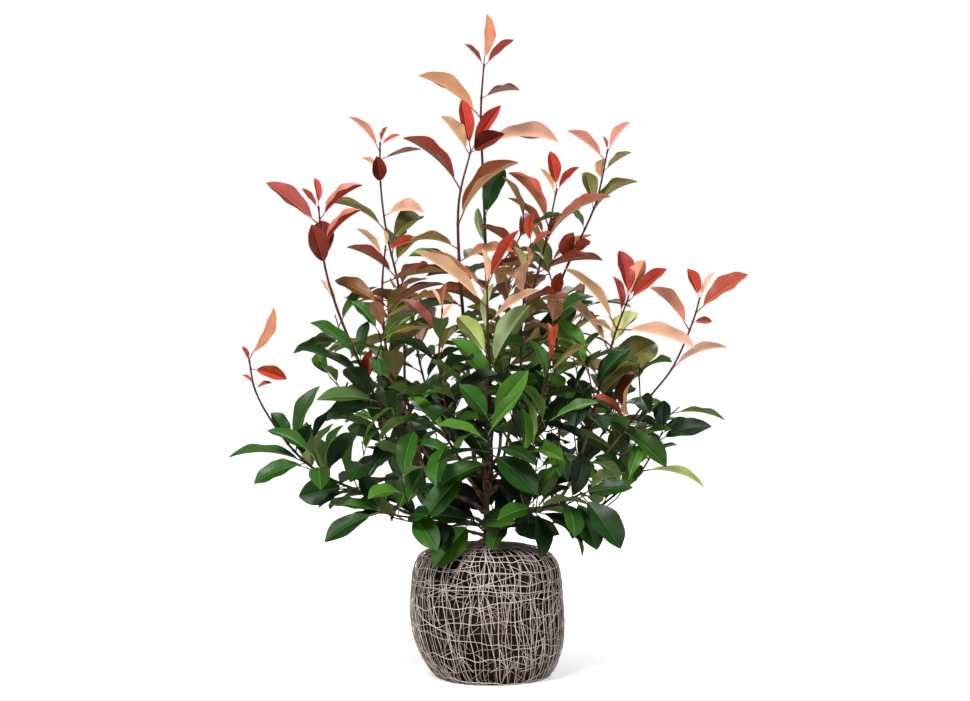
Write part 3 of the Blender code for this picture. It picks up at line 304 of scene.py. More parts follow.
    Limb("green_right", "trunk", 0.16,
         ((2, 0.9, 24.4), (7, 3, 24.3), (14, 4, 25.4), (18, 4, 27), (21, 3, 29.3), (25.5, 2, 33.5),
          (29, 2, 40)),
         0.42, 2.4, 3, False,
         ((0.2, 86, -15, 70, 5.4, 1.7), (0.8, 36, -12, 50, 5.2, 1.0), (1.8, 18, 5, 40, 9.4, 1.1),
          (4.5, 25, 25, 20, 5.2, 0.9), (7.5, -14, 5, -20, 10.9, 0.8), (9.5, 150, 10, 50, 8.2, 1.0))),
    Limb("low_right", "trunk", 0.3,
         ((1.6, -1.8, 26.7), (6, -7, 28), (11, -11, 29), (15, -13, 31)),
         0.38, 2.4, 3, False,
         ((0.4, -56, 20, 60, 10.6, 1.3), (1.5, -70, 32, 72, 9.0, 1.4), (0.2, 6, 20, 50, 8.2, 1.0))),
    Limb("low_left", "trunk", 0.24,
         ((-1.7, -1.9, 26), (-6, -6, 26.2), (-13, -10, 27), (-17.2, -12, 28)),
         0.4, 2.2, 3, False,
         ((0.3, 207, 15, 50, 9.8, 1.0), (1.2, 169, 5, 35, 7.4, 0.9), (1.8, 190, -5, 30, 6.8, 1.0),
          (0.5, 122, 10, 60, 6.6, 1.4), (3.5, 64, 10, 50, 8.4, 1.1))),
    Limb("skirt_left", "trunk", 0.12,
         ((-1.2, -1.8, 24.6), (-2.6, -5.4, 26)),
         0.0, 1.8, 0, False,
         ((0.2, 232, 30, 75, 10.4, 1.3), (1.0, 168, 15, 50, 8.0, 1.0))),
    Limb("skirt_right", "trunk", 0.08,
         ((1.6, -1.5, 24), (5.2, -4.6, 25.2)),
         0.0, 1.8, 0, False,
         ((0.2, -8, 30, 60, 7.6, 1.2), (1.2, -24, 40, 60, 7.0, 1.2))),
    Limb("skirt_back", "trunk", 0.06,
         ((0.4, 2.2, 24), (1.2, 7, 26)),
         0.0, 1.8, 1, False,
         ((0.2, 112, -5, 70, 9.4, 1.3), (0.8, 150, -5, 65, 9.4, 1.3), (1.6, 50, -5, 65, 8.6, 1.2))),
)


# The tint of each leaf that stands out, in the order of LIMBS
LISTED_TINTS = {
    "lead": "coral maroon crimson mauve maroon peach deep sage",
    "left_lead": "flame flame maroon peach maroon chestnut",
    "left_main": "flame crimson blush pink blush maroon maroon peach green deep rust deep sage deep",
    "left_tall": "rust flame pink mauve peach maroon peach olive olive",
    "left_mid": "peach rust rosy chestnut bronze maroon olive",
    "far_left": "coral crimson rust rust rust deep green dark green green deep deep",
    "right_main": "crimson coral flame crimson peach peach peach lime peach olive olive olive",
    "right_far": "flame coral peach pink pink peach chestnut coral green",
    "right_back": "pink pink pink olive copper olive olive sage coral rust rust",
    "right_mid": "flame flame copper coral coral copper chestnut maroon copper",
    "right_inner": "rust coral maroon peach olive peach",
    "front_lead": "flame rosy coral peach peach sage lime sage fresh",
    "back_lead": "coral crimson copper",
    "front_left": "rosy rosy peach",
    "front_right": "rust rust rust",
    "front_low": "fresh green green",
    "green_right": "dark dark dark sage lime green",
    "low_right": "deep deep deep",
    "low_left": "deep green dark dark green",
    "skirt_left": "fresh deep",
    "skirt_right": "fresh deep",
    # The leaves low at the back are near-black: painted shade that fills the dark middle behind the trunk
    "skirt_back": "shade shade shade",
}


def smooth_course(points):
    """A dense centripetal Catmull-Rom line through the points."""
    spots = [2 * points[0] - points[1], *points, 2 * points[-1] - points[-2]]
    line = []
    for a, b, c, d in zip(spots, spots[1:], spots[2:], spots[3:]):
        knots = [0.0]
        for start, end in ((a, b), (b, c), (c, d)):
            knots.append(knots[-1] + max((end - start).length, 1e-6) ** 0.5)
        for step in range(COURSE_STEPS):
            t = knots[1] + (knots[2] - knots[1]) * step / COURSE_STEPS
            ab = a.lerp(b, (t - knots[0]) / (knots[1] - knots[0]))
            bc = b.lerp(c, (t - knots[1]) / (knots[2] - knots[1]))
            cd = c.lerp(d, (t - knots[2]) / (knots[3] - knots[2]))
            abc = ab.lerp(bc, (t - knots[0]) / (knots[2] - knots[0]))
            bcd = bc.lerp(cd, (t - knots[1]) / (knots[3] - knots[1]))
            line.append(abc.lerp(bcd, (t - knots[1]) / (knots[2] - knots[1])))
    line.append(points[-1].copy())
    return line


class Course:
    """A limb's line as (point, radius) spots, read by distance from its foot."""

    def __init__(self, spots):
        self.spots = spots
        self.reach = [0.0]
        for (start, _), (end, _) in zip(spots, spots[1:]):
            self.reach.append(self.reach[-1] + (end - start).length)
        self.length = self.reach[-1]

    def at(self, distance):
        """(point, direction, radius) at that distance from the foot."""
        distance = min(max(distance, 0.0), self.length)
        k = 1
        while k < len(self.reach) - 1 and self.reach[k] < distance:
            k += 1
        share = (distance - self.reach[k - 1]) / (self.reach[k] - self.reach[k - 1])
        (start, foot), (end, tip) = self.spots[k - 1], self.spots[k]
        return start.lerp(end, share), (end - start).normalized(), foot + (tip - foot) * share

    def stretch(self, start, end, count):
        """The course between two distances, as straight pieces between evenly spaced spots."""
        cuts = [self.at(start + (end - start) * k / (count - 1)) for k in range(count)]
        return Course([(point, radius) for point, _, radius in cuts])


def tapering(points, foot_radius, tip_radius):
    """A smooth course through the points, thinning from its foot to its tip."""
    line = smooth_course(points)
    shares = [1 - k / (len(line) - 1) for k in range(len(line))]
    radii = [tip_radius + (foot_radius - tip_radius) * left**TAPER_POWER for left in shares]
    return Course(list(zip(line, radii)))


def square_to(direction, near=UP):
    """A unit vector square to the direction, as near as can be to another."""
    side = near - near.dot(direction) * direction
    if side.length < NEARLY_PARALLEL:
        side = Vector((1, 0, 0)) - direction.x * direction
    return side.normalized()


def ring_faces(rings, sides):
    """The side faces between rings of points, each ring closed."""
    faces = []
    for k in range(rings - 1):
        for j in range(sides):
            a, b = k * sides + j, k * sides + (j + 1) % sides
            faces.append((a, b, b + sides, a + sides))
    return faces


def tube(course, sides, margin=0.0):
    """(points, faces) of a closed tube along a course."""
    points = []
    across = SEAM
    spots = course.spots
    for k, (centre, radius) in enumerate(spots):
        radius += margin
        before = spots[max(k - 1, 0)][0]
        after = spots[min(k + 1, len(spots) - 1)][0]
        along = (after - before).normalized()
        across = square_to(along, across)
        third = along.cross(across)
        for j in range(sides):
            turn = 2 * math.pi * j / sides
            points.append(centre + radius * (math.cos(turn) * across + math.sin(turn) * third))
    faces = ring_faces(len(spots), sides)
    faces.append(tuple(range(sides - 1, -1, -1)))
    faces.append(tuple(range(len(points) - sides, len(points))))
    return points, faces


Leaf = namedtuple("Leaf", "root aim upper length width bend fold age sections tint", defaults=(None,))


def leaf_station(leaf, share):
    """(point, side, upward) at a share of the leaf's length, along its arched midrib."""
    bend = max(leaf.bend, LEAST_BEND)
    angle = bend * (0.5 - share)
    along = (math.sin(bend / 2) - math.sin(angle)) / bend
    rise = (math.cos(angle) - math.cos(bend / 2)) / bend
    point = leaf.root + leaf.length * (along * leaf.aim + rise * leaf.upper)
    upward = -math.sin(angle) * leaf.aim + math.cos(angle) * leaf.upper
    return point, leaf.aim.cross(leaf.upper), upward


def blade_profile(share):
    """The blade's half width at a share of its length, as a share of its widest."""
    return math.sin(math.pi * share**BLADE_SKEW) ** BLADE_FULLNESS


def leaf_solid(leaf, sections, margin=0.0, start=0.0):
    """(points, faces) of a thin leaf: a pointed foot, its sections and a pointed tip.

    With several sections the leaf is folded along its midrib, and with one it is flat on top."""
    folded = len(sections) > 1
    thick = LEAF_THICKNESS / 2 + margin
    points = [leaf_station(leaf, start)[0]]
    for blade_share in sections:
        share = PETIOLE_SHARE + (1 - PETIOLE_SHARE) * blade_share
        centre, side, upward = leaf_station(leaf, share)
        half = leaf.width / 2 * blade_profile(blade_share) + margin
        lift = half * math.sin(leaf.fold) * upward
        out = half * math.cos(leaf.fold) * side
        if folded:
            points += [centre + out + lift, centre + thick * upward]
            points += [centre - out + lift, centre - thick * upward]
        else:
            points += [centre + out + 0.5 * lift, centre - out + 0.5 * lift]
            points.append(centre - 2 * thick * upward)
    points.append(leaf_station(leaf, 1 + margin / leaf.length)[0])
    ring = 4 if folded else 3
    last = len(points) - 1 - ring
    faces = []
    for j in range(ring):
        k = (j + 1) % ring
        faces += [(0, 1 + j, 1 + k), (last + j, last + ring, last + k)]
        faces += [(a + j, a + ring + j, a + ring + k, a + k) for a in range(1, last, ring)]
    return points, faces


class Obstacle:
    """A solid that later leaves and twigs keep clear of."""

    def __init__(self, points, faces, mass):
        self.tree = BVHTree.FromPolygons(points, faces)
        low = Vector([min(p[k] for p in points) for k in range(3)])
        high = Vector([max(p[k] for p in points) for k in range(3)])
        self.centre = (low + high) / 2
        self.radius = (high - low).length / 2
        self.mass = mass


def touches(shape, others):
    """Whether the shape meets any of the others."""
    return any(
        (o.centre - shape.centre).length < o.radius + shape.radius and o.tree.overlap(shape.tree)
        for o in others
    )


def leaf_guard(leaf, mass, margin=0.0, start=0.0):
    """The leaf's full blade together with its plain solid, as an obstacle."""
    points, faces = leaf_solid(leaf, leaf.sections, margin, start)
    more_points, more_faces = leaf_solid(leaf, GUARD_SECTIONS, margin, start)
    faces += [tuple(k + len(points) for k in face) for face in more_faces]
    return Obstacle(points + more_points, faces, mass)


def leaf_is_clear(leaf, mass, obstacles):
    """Whether the leaf keeps to the free space: its blade off everything, its foot off other masses."""
    whole = leaf_guard(leaf, mass, CLEARANCE)
    if touches(whole, [o for o in obstacles if o.mass != mass]):
        return False
    blade = leaf_guard(leaf, mass, CLEARANCE, BLADE_STARTS)
    return not touches(blade, [o for o in obstacles if o.mass == mass])


def at_age(pair, age):
    """The value between a young leaf's and a grown one's, age running from 0 to 1."""
    return pair[0] + (pair[1] - pair[0]) * age


def shaped_leaf(root, aim, upper, length, age, flush, sections, rng):
    """A leaf with the width, arch and fold of its age, folded more on a shoot in red flush."""
    width = length * (1 - PETIOLE_SHARE) * (at_age(LEAF_WIDTH_SHARE, age) + rng.uniform(*WIDTH_SCATTER))
    bend = at_age(LEAF_BEND, age) + math.radians(rng.uniform(*BEND_SCATTER))
    fold = at_age(FLUSH_FOLD if flush else GREEN_FOLD, age) + math.radians(rng.uniform(*FOLD_SCATTER))
    return Leaf(root, aim, upper, length * LEAF_OVERLENGTH, width, bend, fold, age, sections)


def front_aim(face, near):
    """The direction that is face degrees round in the front view, turned near degrees to the front."""
    face, near = math.radians(face), math.radians(near)
    return Vector((math.cos(face) * math.cos(near), -math.sin(near), math.sin(face) * math.cos(near)))


def front_upper(aim, show):
    """The upper side of a leaf, facing the sky and turned show degrees towards the front."""
    near = square_to(aim, Vector((0, -1, 0)))
    high = aim.cross(near)
    if high.z < 0:
        high.negate()
    return math.cos(math.radians(show)) * high + math.sin(math.radians(show)) * near


def rule_upper(aim, along, age, rng):
    """The upper side of a leaf, facing its stem while it is young and the sky once it is grown."""
    upper = square_to(aim, along.lerp(UP, at_age(LEAF_FACES_SKY, age)))
    return Matrix.Rotation(at_age(LEAF_ROLL, age) * rng.uniform(-1, 1), 3, aim) @ upper


def leaf_age(back, flush):
    """A leaf's age by its distance back from the tip: slow to darken on a shoot in red flush."""
    if flush:
        return min(1.0, FLUSH_YOUNGEST + back / FLUSH_AGEING)
    return min(1.0, GREEN_YOUNGEST + back / GREEN_AGEING)


def keeps_view_open(point):
    """Whether a leaf or twig there leaves the openings of the front view open, and the trunk in sight."""
    views = OPENINGS + TRUNK_VIEWS if point.y < 0 else OPENINGS
    return all(math.hypot(point.x / CM - right, point.z / CM - up) >= radius for right, up, radius in views)


def listed_leaves(limb, stem, obstacles):
    """The leaves that stand out, turned a little in depth where another leaf is in the way."""
    placed = []
    for k, (back, face, near, show, length, breadth) in enumerate(limb.leaves):
        point = stem.at(stem.length - back * CM)[0]
        rng = random.Random(f"{limb.name} listed {k}")
        age = leaf_age(back * CM, limb.flush)
        rolls = rng.getstate()
        for face_turn, near_turn in LISTED_SWINGS:
            rng.setstate(rolls)
            aim = front_aim(face + face_turn, near + near_turn)
            upper = front_upper(aim, show)
            leaf = shaped_leaf(point, aim, upper, length * CM, age, limb.flush, LISTED_SECTIONS, rng)
            leaf = leaf._replace(width=leaf.width * breadth)
            if leaf_is_clear(leaf, limb.name, obstacles):
                placed.append(leaf._replace(tint=LISTED_TINTS[limb.name].split()[k]))
                obstacles.append(leaf_guard(leaf, limb.name))
                break
    return placed


def spiral_leaves(limb, label, stem, first, obstacles):
    """Leaves in a spiral from a distance back from the tip down to the foot, the rule for all others."""
    placed = []
    rng = random.Random(f"{limb.name} {label}")
    turn = rng.uniform(0, 2 * math.pi)
    back = first
    while back < stem.length - LAST_LEAF:
        point, along, _ = stem.at(stem.length - back)
        flush = limb.flush and label == "stem"
        age = leaf_age(back, flush)
        spread = at_age(LEAF_SPREAD, age) + math.radians(rng.uniform(*SPREAD_SCATTER))
        length = at_age(LEAF_LENGTH, age) + rng.uniform(*LENGTH_SCATTER) * CM
        sag = age * rng.uniform(*LEAF_SAG)
        rolls = rng.getstate()
        for swing, tilt, size in LEAF_SWINGS:
            rng.setstate(rolls)
            out = Matrix.Rotation(turn + math.radians(swing), 3, along) @ square_to(along, FRONT)
            lean = spread + math.radians(tilt)
            aim = (math.cos(lean) * along + math.sin(lean) * out - sag * UP).normalized()
            upper = rule_upper(aim, along, age, rng)
            leaf = shaped_leaf(point, aim, upper, length * size, age, flush, SPIRAL_SECTIONS, rng)
            tip = leaf.root + leaf.aim * leaf.length
            middle = leaf.root.lerp(tip, LEAF_MIDDLE)
            if tip.z < LOWEST_LEAF or not (keeps_view_open(tip) and keeps_view_open(middle)):
                continue
            if leaf_is_clear(leaf, limb.name, obstacles):
                picker = random.Random(f"{limb.name} {label} tint {len(placed)}")
                placed.append(leaf._replace(tint=tint_of(limb, label, back / CM, point, picker)))
                obstacles.append(leaf_guard(leaf, limb.name))
                break
        turn += GOLDEN_TURN + math.radians(rng.uniform(*TURN_SCATTER))
        back += at_age(LEAF_SPACING, age) * rng.uniform(*SPACING_SCATTER)
    return placed


def side_twigs(limb, stem, obstacles):
    """Side twigs by a seeded rule: they fork off the leafy stem's older part and turn up."""
    twigs = []
    rng = random.Random(f"{limb.name} twigs")
    turn = rng.uniform(0, 2 * math.pi)
    bare_end = FLUSH_LENGTH if limb.flush else TIP_LENGTH
    reach = max(stem.length - bare_end, LEAST_TWIGGY_SHARE * stem.length)
    for k in range(limb.twigs):
        point, along, _ = stem.at(reach * (k + FIRST_TWIG) / limb.twigs)
        length = TWIG_LENGTH * rng.uniform(*TWIG_LENGTHS)
        for swing in TWIG_SWINGS:
            out = Matrix.Rotation(turn + math.radians(swing), 3, along) @ square_to(along, FRONT)
            aim = (TWIG_LEAN * along + out).normalized()
            if aim.z < LOWEST_TWIG_SLOPE:
                continue
            tip = point + length * (aim + TWIG_RISE * UP).normalized()
            if not keeps_view_open(tip):
                continue
            bend = point + TWIG_BEND_AT * length * aim
            line = tapering([point, bend, tip], TWIG_RADIUS, TWIG_TIP_RADIUS)
            guard = line.stretch(TWIG_GUARD_STARTS * line.length, line.length, TWIG_POINTS)
            if not touches(Obstacle(*tube(guard, TWIG_SIDES, CLEARANCE), limb.name), obstacles):
                twig = line.stretch(0, line.length, TWIG_POINTS)
                twigs.append(twig)
                obstacles.append(Obstacle(*tube(twig, TWIG_SIDES), limb.name))
                break
        turn += GOLDEN_TURN
    return twigs


def flared(spots):
    """The trunk's spots, widened at its foot by the root flare."""
    foot_height = spots[0][0].z
    rises = [max(0.0, 1 - (point.z - foot_height) / TRUNK_FLARE_HEIGHT) for point, _ in spots]
    return [(point, radius * (1 + TRUNK_FLARE * rise**2)) for (point, radius), rise in zip(spots, rises)]


class Growth:
    """One limb: its bare wood, and the stem, twigs and leaves of its mass of foliage."""

    def __init__(self, limb, parent):
        self.limb = limb
        points = [Vector(p) * CM for p in limb.course]
        if parent:
            points.insert(0, parent.wood.at(limb.fork * parent.course.length - parent.start)[0])
        self.course = tapering(points, limb.foot_mm * MM, TIP_RADIUS if parent else TRUNK_TIP_RADIUS)
        self.start = self.clear_start(parent.wood) if parent else 0.0
        leafy = max(limb.leafy * self.course.length, self.start)
        self.wood = self.course.stretch(self.start, leafy, BOUGH_POINTS) if limb.leafy > 0 else None
        self.stem = self.course.stretch(leafy, self.course.length, STEM_POINTS) if parent else None
        if not parent:
            self.wood = Course(flared(self.wood.spots))
        if self.wood and self.stem:
            bend = self.wood.at(self.wood.length)[1].angle(self.stem.at(0)[1])
            leafy += JOINT_GAP + self.stem.at(0)[2] * math.sin(bend)
            self.stem = self.course.stretch(leafy, self.course.length, STEM_POINTS)
        self.twigs = []
        self.leaves = []
        self.node_backs = []

    def clear_start(self, wood):
        """How far up its course the limb stands clear of its parent."""
        parent = Obstacle(*tube(wood, ROUND_SIDES), "parent")
        end, count = self.limb.leafy * self.course.length, BOUGH_POINTS
        if self.limb.leafy == 0:
            end, count = self.course.length, STEM_POINTS
        start = CLEAR_STEP
        while touches(Obstacle(*tube(self.course.stretch(start, end, count), ROUND_SIDES), "limb"), [parent]):
            start += CLEAR_STEP
        return start + FORK_GAP


def grow():
    """Every limb, with its foliage clear of all the others, the leaves that stand out first."""
    growths = {TRUNK.name: Growth(TRUNK, None)}
    for limb in LIMBS:
        growths[limb.name] = Growth(limb, growths[limb.parent])
    obstacles = [Obstacle(*ball_shape(CLEARANCE), "root ball")]
    for name, growth in growths.items():
        if growth.wood:
            obstacles.append(Obstacle(*tube(growth.wood, WOOD_SIDES), "wood"))
        if growth.stem:
            obstacles.append(Obstacle(*tube(growth.stem, TWIG_SIDES), name))
    masses = [growth for growth in growths.values() if growth.stem]
    for mass in masses:
        mass.leaves += listed_leaves(mass.limb, mass.stem, obstacles)
    for mass in masses:
        mass.twigs += side_twigs(mass.limb, mass.stem, obstacles)
    for mass in masses:
        listed = [row[0] * CM + LEAF_SPACING[1] for row in mass.limb.leaves]
        first = max(listed, default=FIRST_LEAF)
        mass.leaves += spiral_leaves(mass.limb, "stem", mass.stem, first, obstacles)
        mass.node_backs = [(leaf.root - mass.course.spots[-1][0]).length for leaf in mass.leaves]
    for mass in masses:
        for k, twig in enumerate(mass.twigs):
            mass.leaves += spiral_leaves(mass.limb, f"twig {k}", twig, FIRST_LEAF, obstacles)
    return growths


def ball_spot(turn, across, z, margin=0.0):
    """The root ball's surface where a unit ball has a point at a turn, across from its axis and z up."""
    power = BALL_UPPER_SQUARENESS if z > 0 else BALL_LOWER_SQUARENESS
    square = (across**power + abs(z) ** power) ** (-1 / power)
    reach = BALL_HEIGHT - BALL_WIDEST_AT if z > 0 else BALL_LOWER_REACH
    lump = 1 + BALL_LUMP * (math.sin(3 * turn + 1) + 0.7 * math.sin(2 * turn - 5 * z))
    radial = across * square * BALL_RADIUS * lump + margin
    height = BALL_WIDEST_AT + z * square * reach + (margin if z > 0 else 0)
    low = max(0.0, 1 - height / BALL_WIDEST_AT)
    shift = BALL_FOOT_SHIFT * low**BALL_FOOT_POWER - BALL_SIDE_SHIFT
    return Vector((radial * math.cos(turn) + shift, radial * math.sin(turn) * BALL_DEPTH_SHARE, height))


def ball_shape(margin=0.0):
    """(points, faces) of the root ball, before its underside is cut flat."""
    shape = bmesh.new()
    bmesh.ops.create_uvsphere(shape, u_segments=BALL_SEGMENTS, v_segments=BALL_RINGS, radius=1)
    places = [tuple(vert.co) for vert in shape.verts]
    points = [ball_spot(math.atan2(y, x), math.hypot(x, y), z, margin) for x, y, z in places]
    faces = [tuple(v.index for v in f.verts) for f in shape.faces]
    shape.free()
    return points, faces


# Colours out of 255 of a leaf's upper side, underside and midrib, and how rough its upper side is
TINTS = {
    "flame": ((164, 56, 42), (172, 72, 54), (204, 104, 80), 0.46),
    "coral": ((172, 78, 62), (204, 126, 102), (204, 122, 98), 0.46),
    "crimson": ((136, 46, 40), (176, 92, 76), (160, 66, 54), 0.4),
    "pink": ((142, 66, 60), (204, 130, 118), (196, 118, 106), 0.46),
    "blush": ((202, 120, 106), (150, 54, 42), (186, 90, 74), 0.44),
    "rosy": ((172, 78, 64), (218, 166, 146), (214, 152, 132), 0.44),
    "maroon": ((104, 36, 25), (186, 128, 102), (146, 70, 52), 0.4),
    "mauve": ((104, 46, 48), (178, 136, 124), (150, 98, 90), 0.42),
    "rust": ((164, 62, 34), (178, 86, 56), (184, 92, 62), 0.42),
    "chestnut": ((116, 52, 25), (204, 157, 112), (156, 90, 56), 0.42),
    "copper": ((142, 70, 40), (200, 142, 104), (186, 120, 84), 0.42),
    "peach": ((150, 84, 58), (216, 163, 136), (216, 170, 140), 0.46),
    "bronze": ((108, 67, 24), (182, 141, 96), (156, 110, 60), 0.38),
    "olive": ((88, 84, 34), (168, 150, 98), (138, 126, 70), 0.5),
    "lime": ((122, 142, 62), (182, 190, 118), (190, 198, 132), 0.44),
    "sage": ((64, 92, 42), (132, 146, 98), (126, 142, 88), 0.44),
    "fresh": ((60, 104, 28), (116, 138, 72), (112, 146, 68), 0.4),
    "green": ((38, 78, 18), (94, 116, 58), (80, 120, 48), 0.42),
    "deep": ((22, 54, 12), (72, 94, 44), (52, 92, 34), 0.44),
    "dark": ((11, 34, 8), (44, 62, 28), (32, 64, 20), 0.5),
    # shade is painted shade: near-black leaves for the crown's dark inside
    "shade": ((6, 20, 5), (26, 38, 17), (16, 36, 11), 0.5),
}

# Painted shade on one half of each leaf: how much darker that half is and how its hue turns, on the upper
# side and on the underside
SHADED_HALF_DARKENING = (0.82, 0.92)
SHADED_HALF_TINGE = ((1.0, 0.96, 0.86), (0.98, 1.01, 0.9))

# What a red shoot's leaves turn through, by the distance back from its tip in centimetres
FLUSH_BANDS = (
    (2.6, ("flame", "coral", "crimson", "pink")),
    (7.0, ("crimson", "maroon", "coral", "copper", "pink")),
    (12.5, ("copper", "peach", "maroon", "bronze")),
    (18.0, ("peach", "bronze", "olive", "copper")),
    (23.0, ("olive", "bronze", "fresh", "green")),
    (28.0, ("green", "deep", "olive", "fresh")),
)
OLD_TINTS = ("deep", "green", "deep", "dark", "deep", "green", "dark")
HIGH_TINTS = ("bronze", "copper", "olive", "peach", "chestnut", "green", "copper", "sage", "maroon")
# Tints of low leaves near the middle: painted shade for the crown's dark inside
INNER_SHADE_TINTS = ("shade", "dark", "shade", "deep")
GREEN_TIP = (4.0, ("fresh", "green"))
INNER_REACH = 13
INNER_HEIGHT = 50
FRESH_REACH = 9
HIGH_HEIGHT = 57
HIGH_SCATTER = (-4, 4)

# The reach of the red on each shoot, as a share of the bands above
FLUSH_REACH = {
    "front_left": 0.3, "front_right": 0.2, "back_left": 0.5, "back_right": 0.5, "back_lead": 0.8,
    "left_main": 1.0, "far_left": 0.6, "right_main": 0.95,
}

LEAF_GLOSS = 0.19
UNDERLEAF_ROUGHNESS = 0.6
RIB_ROUGHNESS = 0.5
FINE_SHARE = 0.45
BARK_STOPS = ((0.35, (52, 34, 27)), (0.7, (128, 94, 72)))
SOIL_STOPS = ((0.45, (6, 4, 3)), (0.68, (15, 10, 8)), (0.86, (42, 30, 23)), (0.98, (92, 68, 52)))


def linear(colour):
    """A colour out of 255, as the shader takes it."""
    shares = [value / 255 for value in colour]
    return tuple(s / 12.92 if s <= 0.04045 else ((s + 0.055) / 1.055) ** 2.4 for s in shares)


def add_node(tree, kind, values=None, operation=None):
    """A new shader node of a kind, with some of its inputs set."""
    node = tree.nodes.new(f"ShaderNode{kind}")
    if operation:
        node.operation = operation
    for socket, value in (values or {}).items():
        node.inputs[socket].default_value = value
    return node


def plain(name, colour, roughness, specular=0.3):
    """A material of one plain base colour."""
    made = bpy.data.materials.new(name)
    made.use_nodes = True
    shader = made.node_tree.nodes["Principled BSDF"]
    shader.inputs["Base Color"].default_value = (*linear(colour), 1)
    shader.inputs["Roughness"].default_value = roughness
    shader.inputs["Metallic"].default_value = 0.0
    shader.inputs["Specular IOR Level"].default_value = specular
    return made


def grained(name, stops, fine, coarse, bump, roughness, specular):
    """A rough look between colours, with a bump: fine noise, on coarse noise where there is any.

    Each noise is (scale, detail), and each stop is (place from 0 to 1, colour out of 255)."""
    made = plain(name, stops[0][1], roughness, specular)
    tree = made.node_tree
    shader = tree.nodes["Principled BSDF"]
    place = add_node(tree, "TexCoord")
    noises = []
    for scale, detail in (fine, coarse) if coarse else (fine,):
        noises.append(add_node(tree, "TexNoise", {"Scale": scale, "Detail": detail}))
        tree.links.new(place.outputs["Object"], noises[-1].inputs["Vector"])
    height = noises[0].outputs["Fac"]
    shade = height
    if coarse:
        mix = add_node(tree, "Math", {1: FINE_SHARE}, "MULTIPLY_ADD")
        tree.links.new(height, mix.inputs[0])
        tree.links.new(noises[1].outputs["Fac"], mix.inputs[2])
        shade = mix.outputs[0]
    ramp = add_node(tree, "ValToRGB")
    elements = ramp.color_ramp.elements
    elements[0].position = stops[0][0]
    elements[1].position = stops[-1][0]
    for position, _ in stops[1:-1]:
        elements.new(position)
    for element, (_, colour) in zip(elements, stops):
        element.color = (*linear(colour), 1)
    strength, distance = bump
    relief = add_node(tree, "Bump", {"Strength": strength, "Distance": distance})
    tree.links.new(shade, ramp.inputs["Fac"])
    tree.links.new(ramp.outputs["Color"], shader.inputs["Base Color"])
    tree.links.new(height, relief.inputs["Height"])
    tree.links.new(relief.outputs["Normal"], shader.inputs["Normal"])
    return made


def leaf_looks():
    """The looks of each tint: upper side, its shaded half, underside, its shaded half, and midrib."""
    looks = {}
    for name, (top, under, rib, rough) in TINTS.items():
        # Darker, tinged copies of the upper side and underside for one half of the leaf: painted shade
        shaded_top, shaded_under = (
            tuple(channel * shade * turn for channel, turn in zip(colour, turns))
            for colour, shade, turns in zip((top, under), SHADED_HALF_DARKENING, SHADED_HALF_TINGE)
        )
        looks[name] = (
            plain(f"leaf_{name}", top, rough, LEAF_GLOSS),
            plain(f"leaf_{name}_shaded", shaded_top, rough, LEAF_GLOSS),
            plain(f"underleaf_{name}", under, UNDERLEAF_ROUGHNESS),
            plain(f"underleaf_{name}_shaded", shaded_under, UNDERLEAF_ROUGHNESS),
            plain(f"rib_{name}", rib, RIB_ROUGHNESS),
        )
    return looks


def wood_looks():
    """The looks of bark, stems and leaf stalks, in the order of their slots."""
    return (
        grained("bark", BARK_STOPS, (90, 5), None, (0.4, 0.6 * MM), 0.75, 0.5),
        plain("brown_stem", (42, 24, 22), 0.6, 0.2),
        plain("young_stem", (66, 22, 22), 0.5, 0.2),
        plain("green_stalk", (96, 104, 50), 0.5),
        plain("red_stalk", (128, 50, 44), 0.45),
    )


def tint_of(limb, label, back, place, rng):
    """The name of a leaf's tint, by how far back from its shoot's tip it grows and by its place.

    Low leaves near the plant's middle are the darkest: painted shade for the crown's dark inside."""
    height = place.z / CM
    inner = math.hypot(place.x, place.y) / CM < INNER_REACH and height < INNER_HEIGHT
    names = INNER_SHADE_TINTS if inner else OLD_TINTS
    if limb.flush and label == "stem":
        back /= FLUSH_REACH.get(limb.name, 1.0)
        bands = FLUSH_BANDS
    else:
        bands = (GREEN_TIP,)
    for reach, band in bands[::-1]:
        if back < reach:
            names = band
    if (back > FRESH_REACH or label != "stem") and height + rng.uniform(*HIGH_SCATTER) > HIGH_HEIGHT:
        names = HIGH_TINTS
    return rng.choice(names)


# The fine leaf: rows run out from the midrib along the side veins, and columns run across the blade, as
# shares of its half width. The middle three columns are the midrib, and RIB_EDGES says which are its edges.
ROWS = 28
ACROSS = np.array([1.0, 0.68, 0.34, 0.0, 0.0, 0.0, -0.34, -0.68, -1.0])
RIB_EDGES = np.array([0, 0, 0, 1.0, 0, -1.0, 0, 0, 0])
COLUMNS = len(ACROSS)
RIB_MIDDLE = (ACROSS == 0) & (RIB_EDGES == 0)
BLADE_EDGES = np.abs(ACROSS) == 1
BLADE_INSIDE = (ACROSS != 0) & ~BLADE_EDGES
VEIN_EVERY = 3
VEIN_DEPTH = 0.16 * MM
SWEEP_FORWARD = 0.13
TIP_STARTS = 0.78
TIP_NARROWING = 0.38
TOOTH = 0.022
RIB_HALF = 0.75 * MM
RIB_TAPER = 0.65
RIB_GROOVE = 0.35 * MM
RIB_DEPTH = 0.7 * MM
RIB_THINNING = 0.8
RIB_SLOT = 4
BLADE_THICKNESS = 0.5 * MM
WAVE = 0.05
WAVES = (1.6, 2.6)
WAVE_OFFSET = 1.9
CURL = (-0.05, 0.22)
CURL_SHARE = (0.3, 1.0)
SIDEWAYS = (-0.05, 0.05)
SHARP_ANGLE = math.radians(50)

# A leaf's stalk, which runs a little way under the blade: shares are of the petiole and of the leaf
STALK_RUN = 1.15
STALK_RADIUS = (0.0125, 0.0085)
STOUTEST_STALK = 1.3 * MM
STALK_DROP = 0.4 * MM
STALK_SIDES = 6
STALK_RINGS = 5


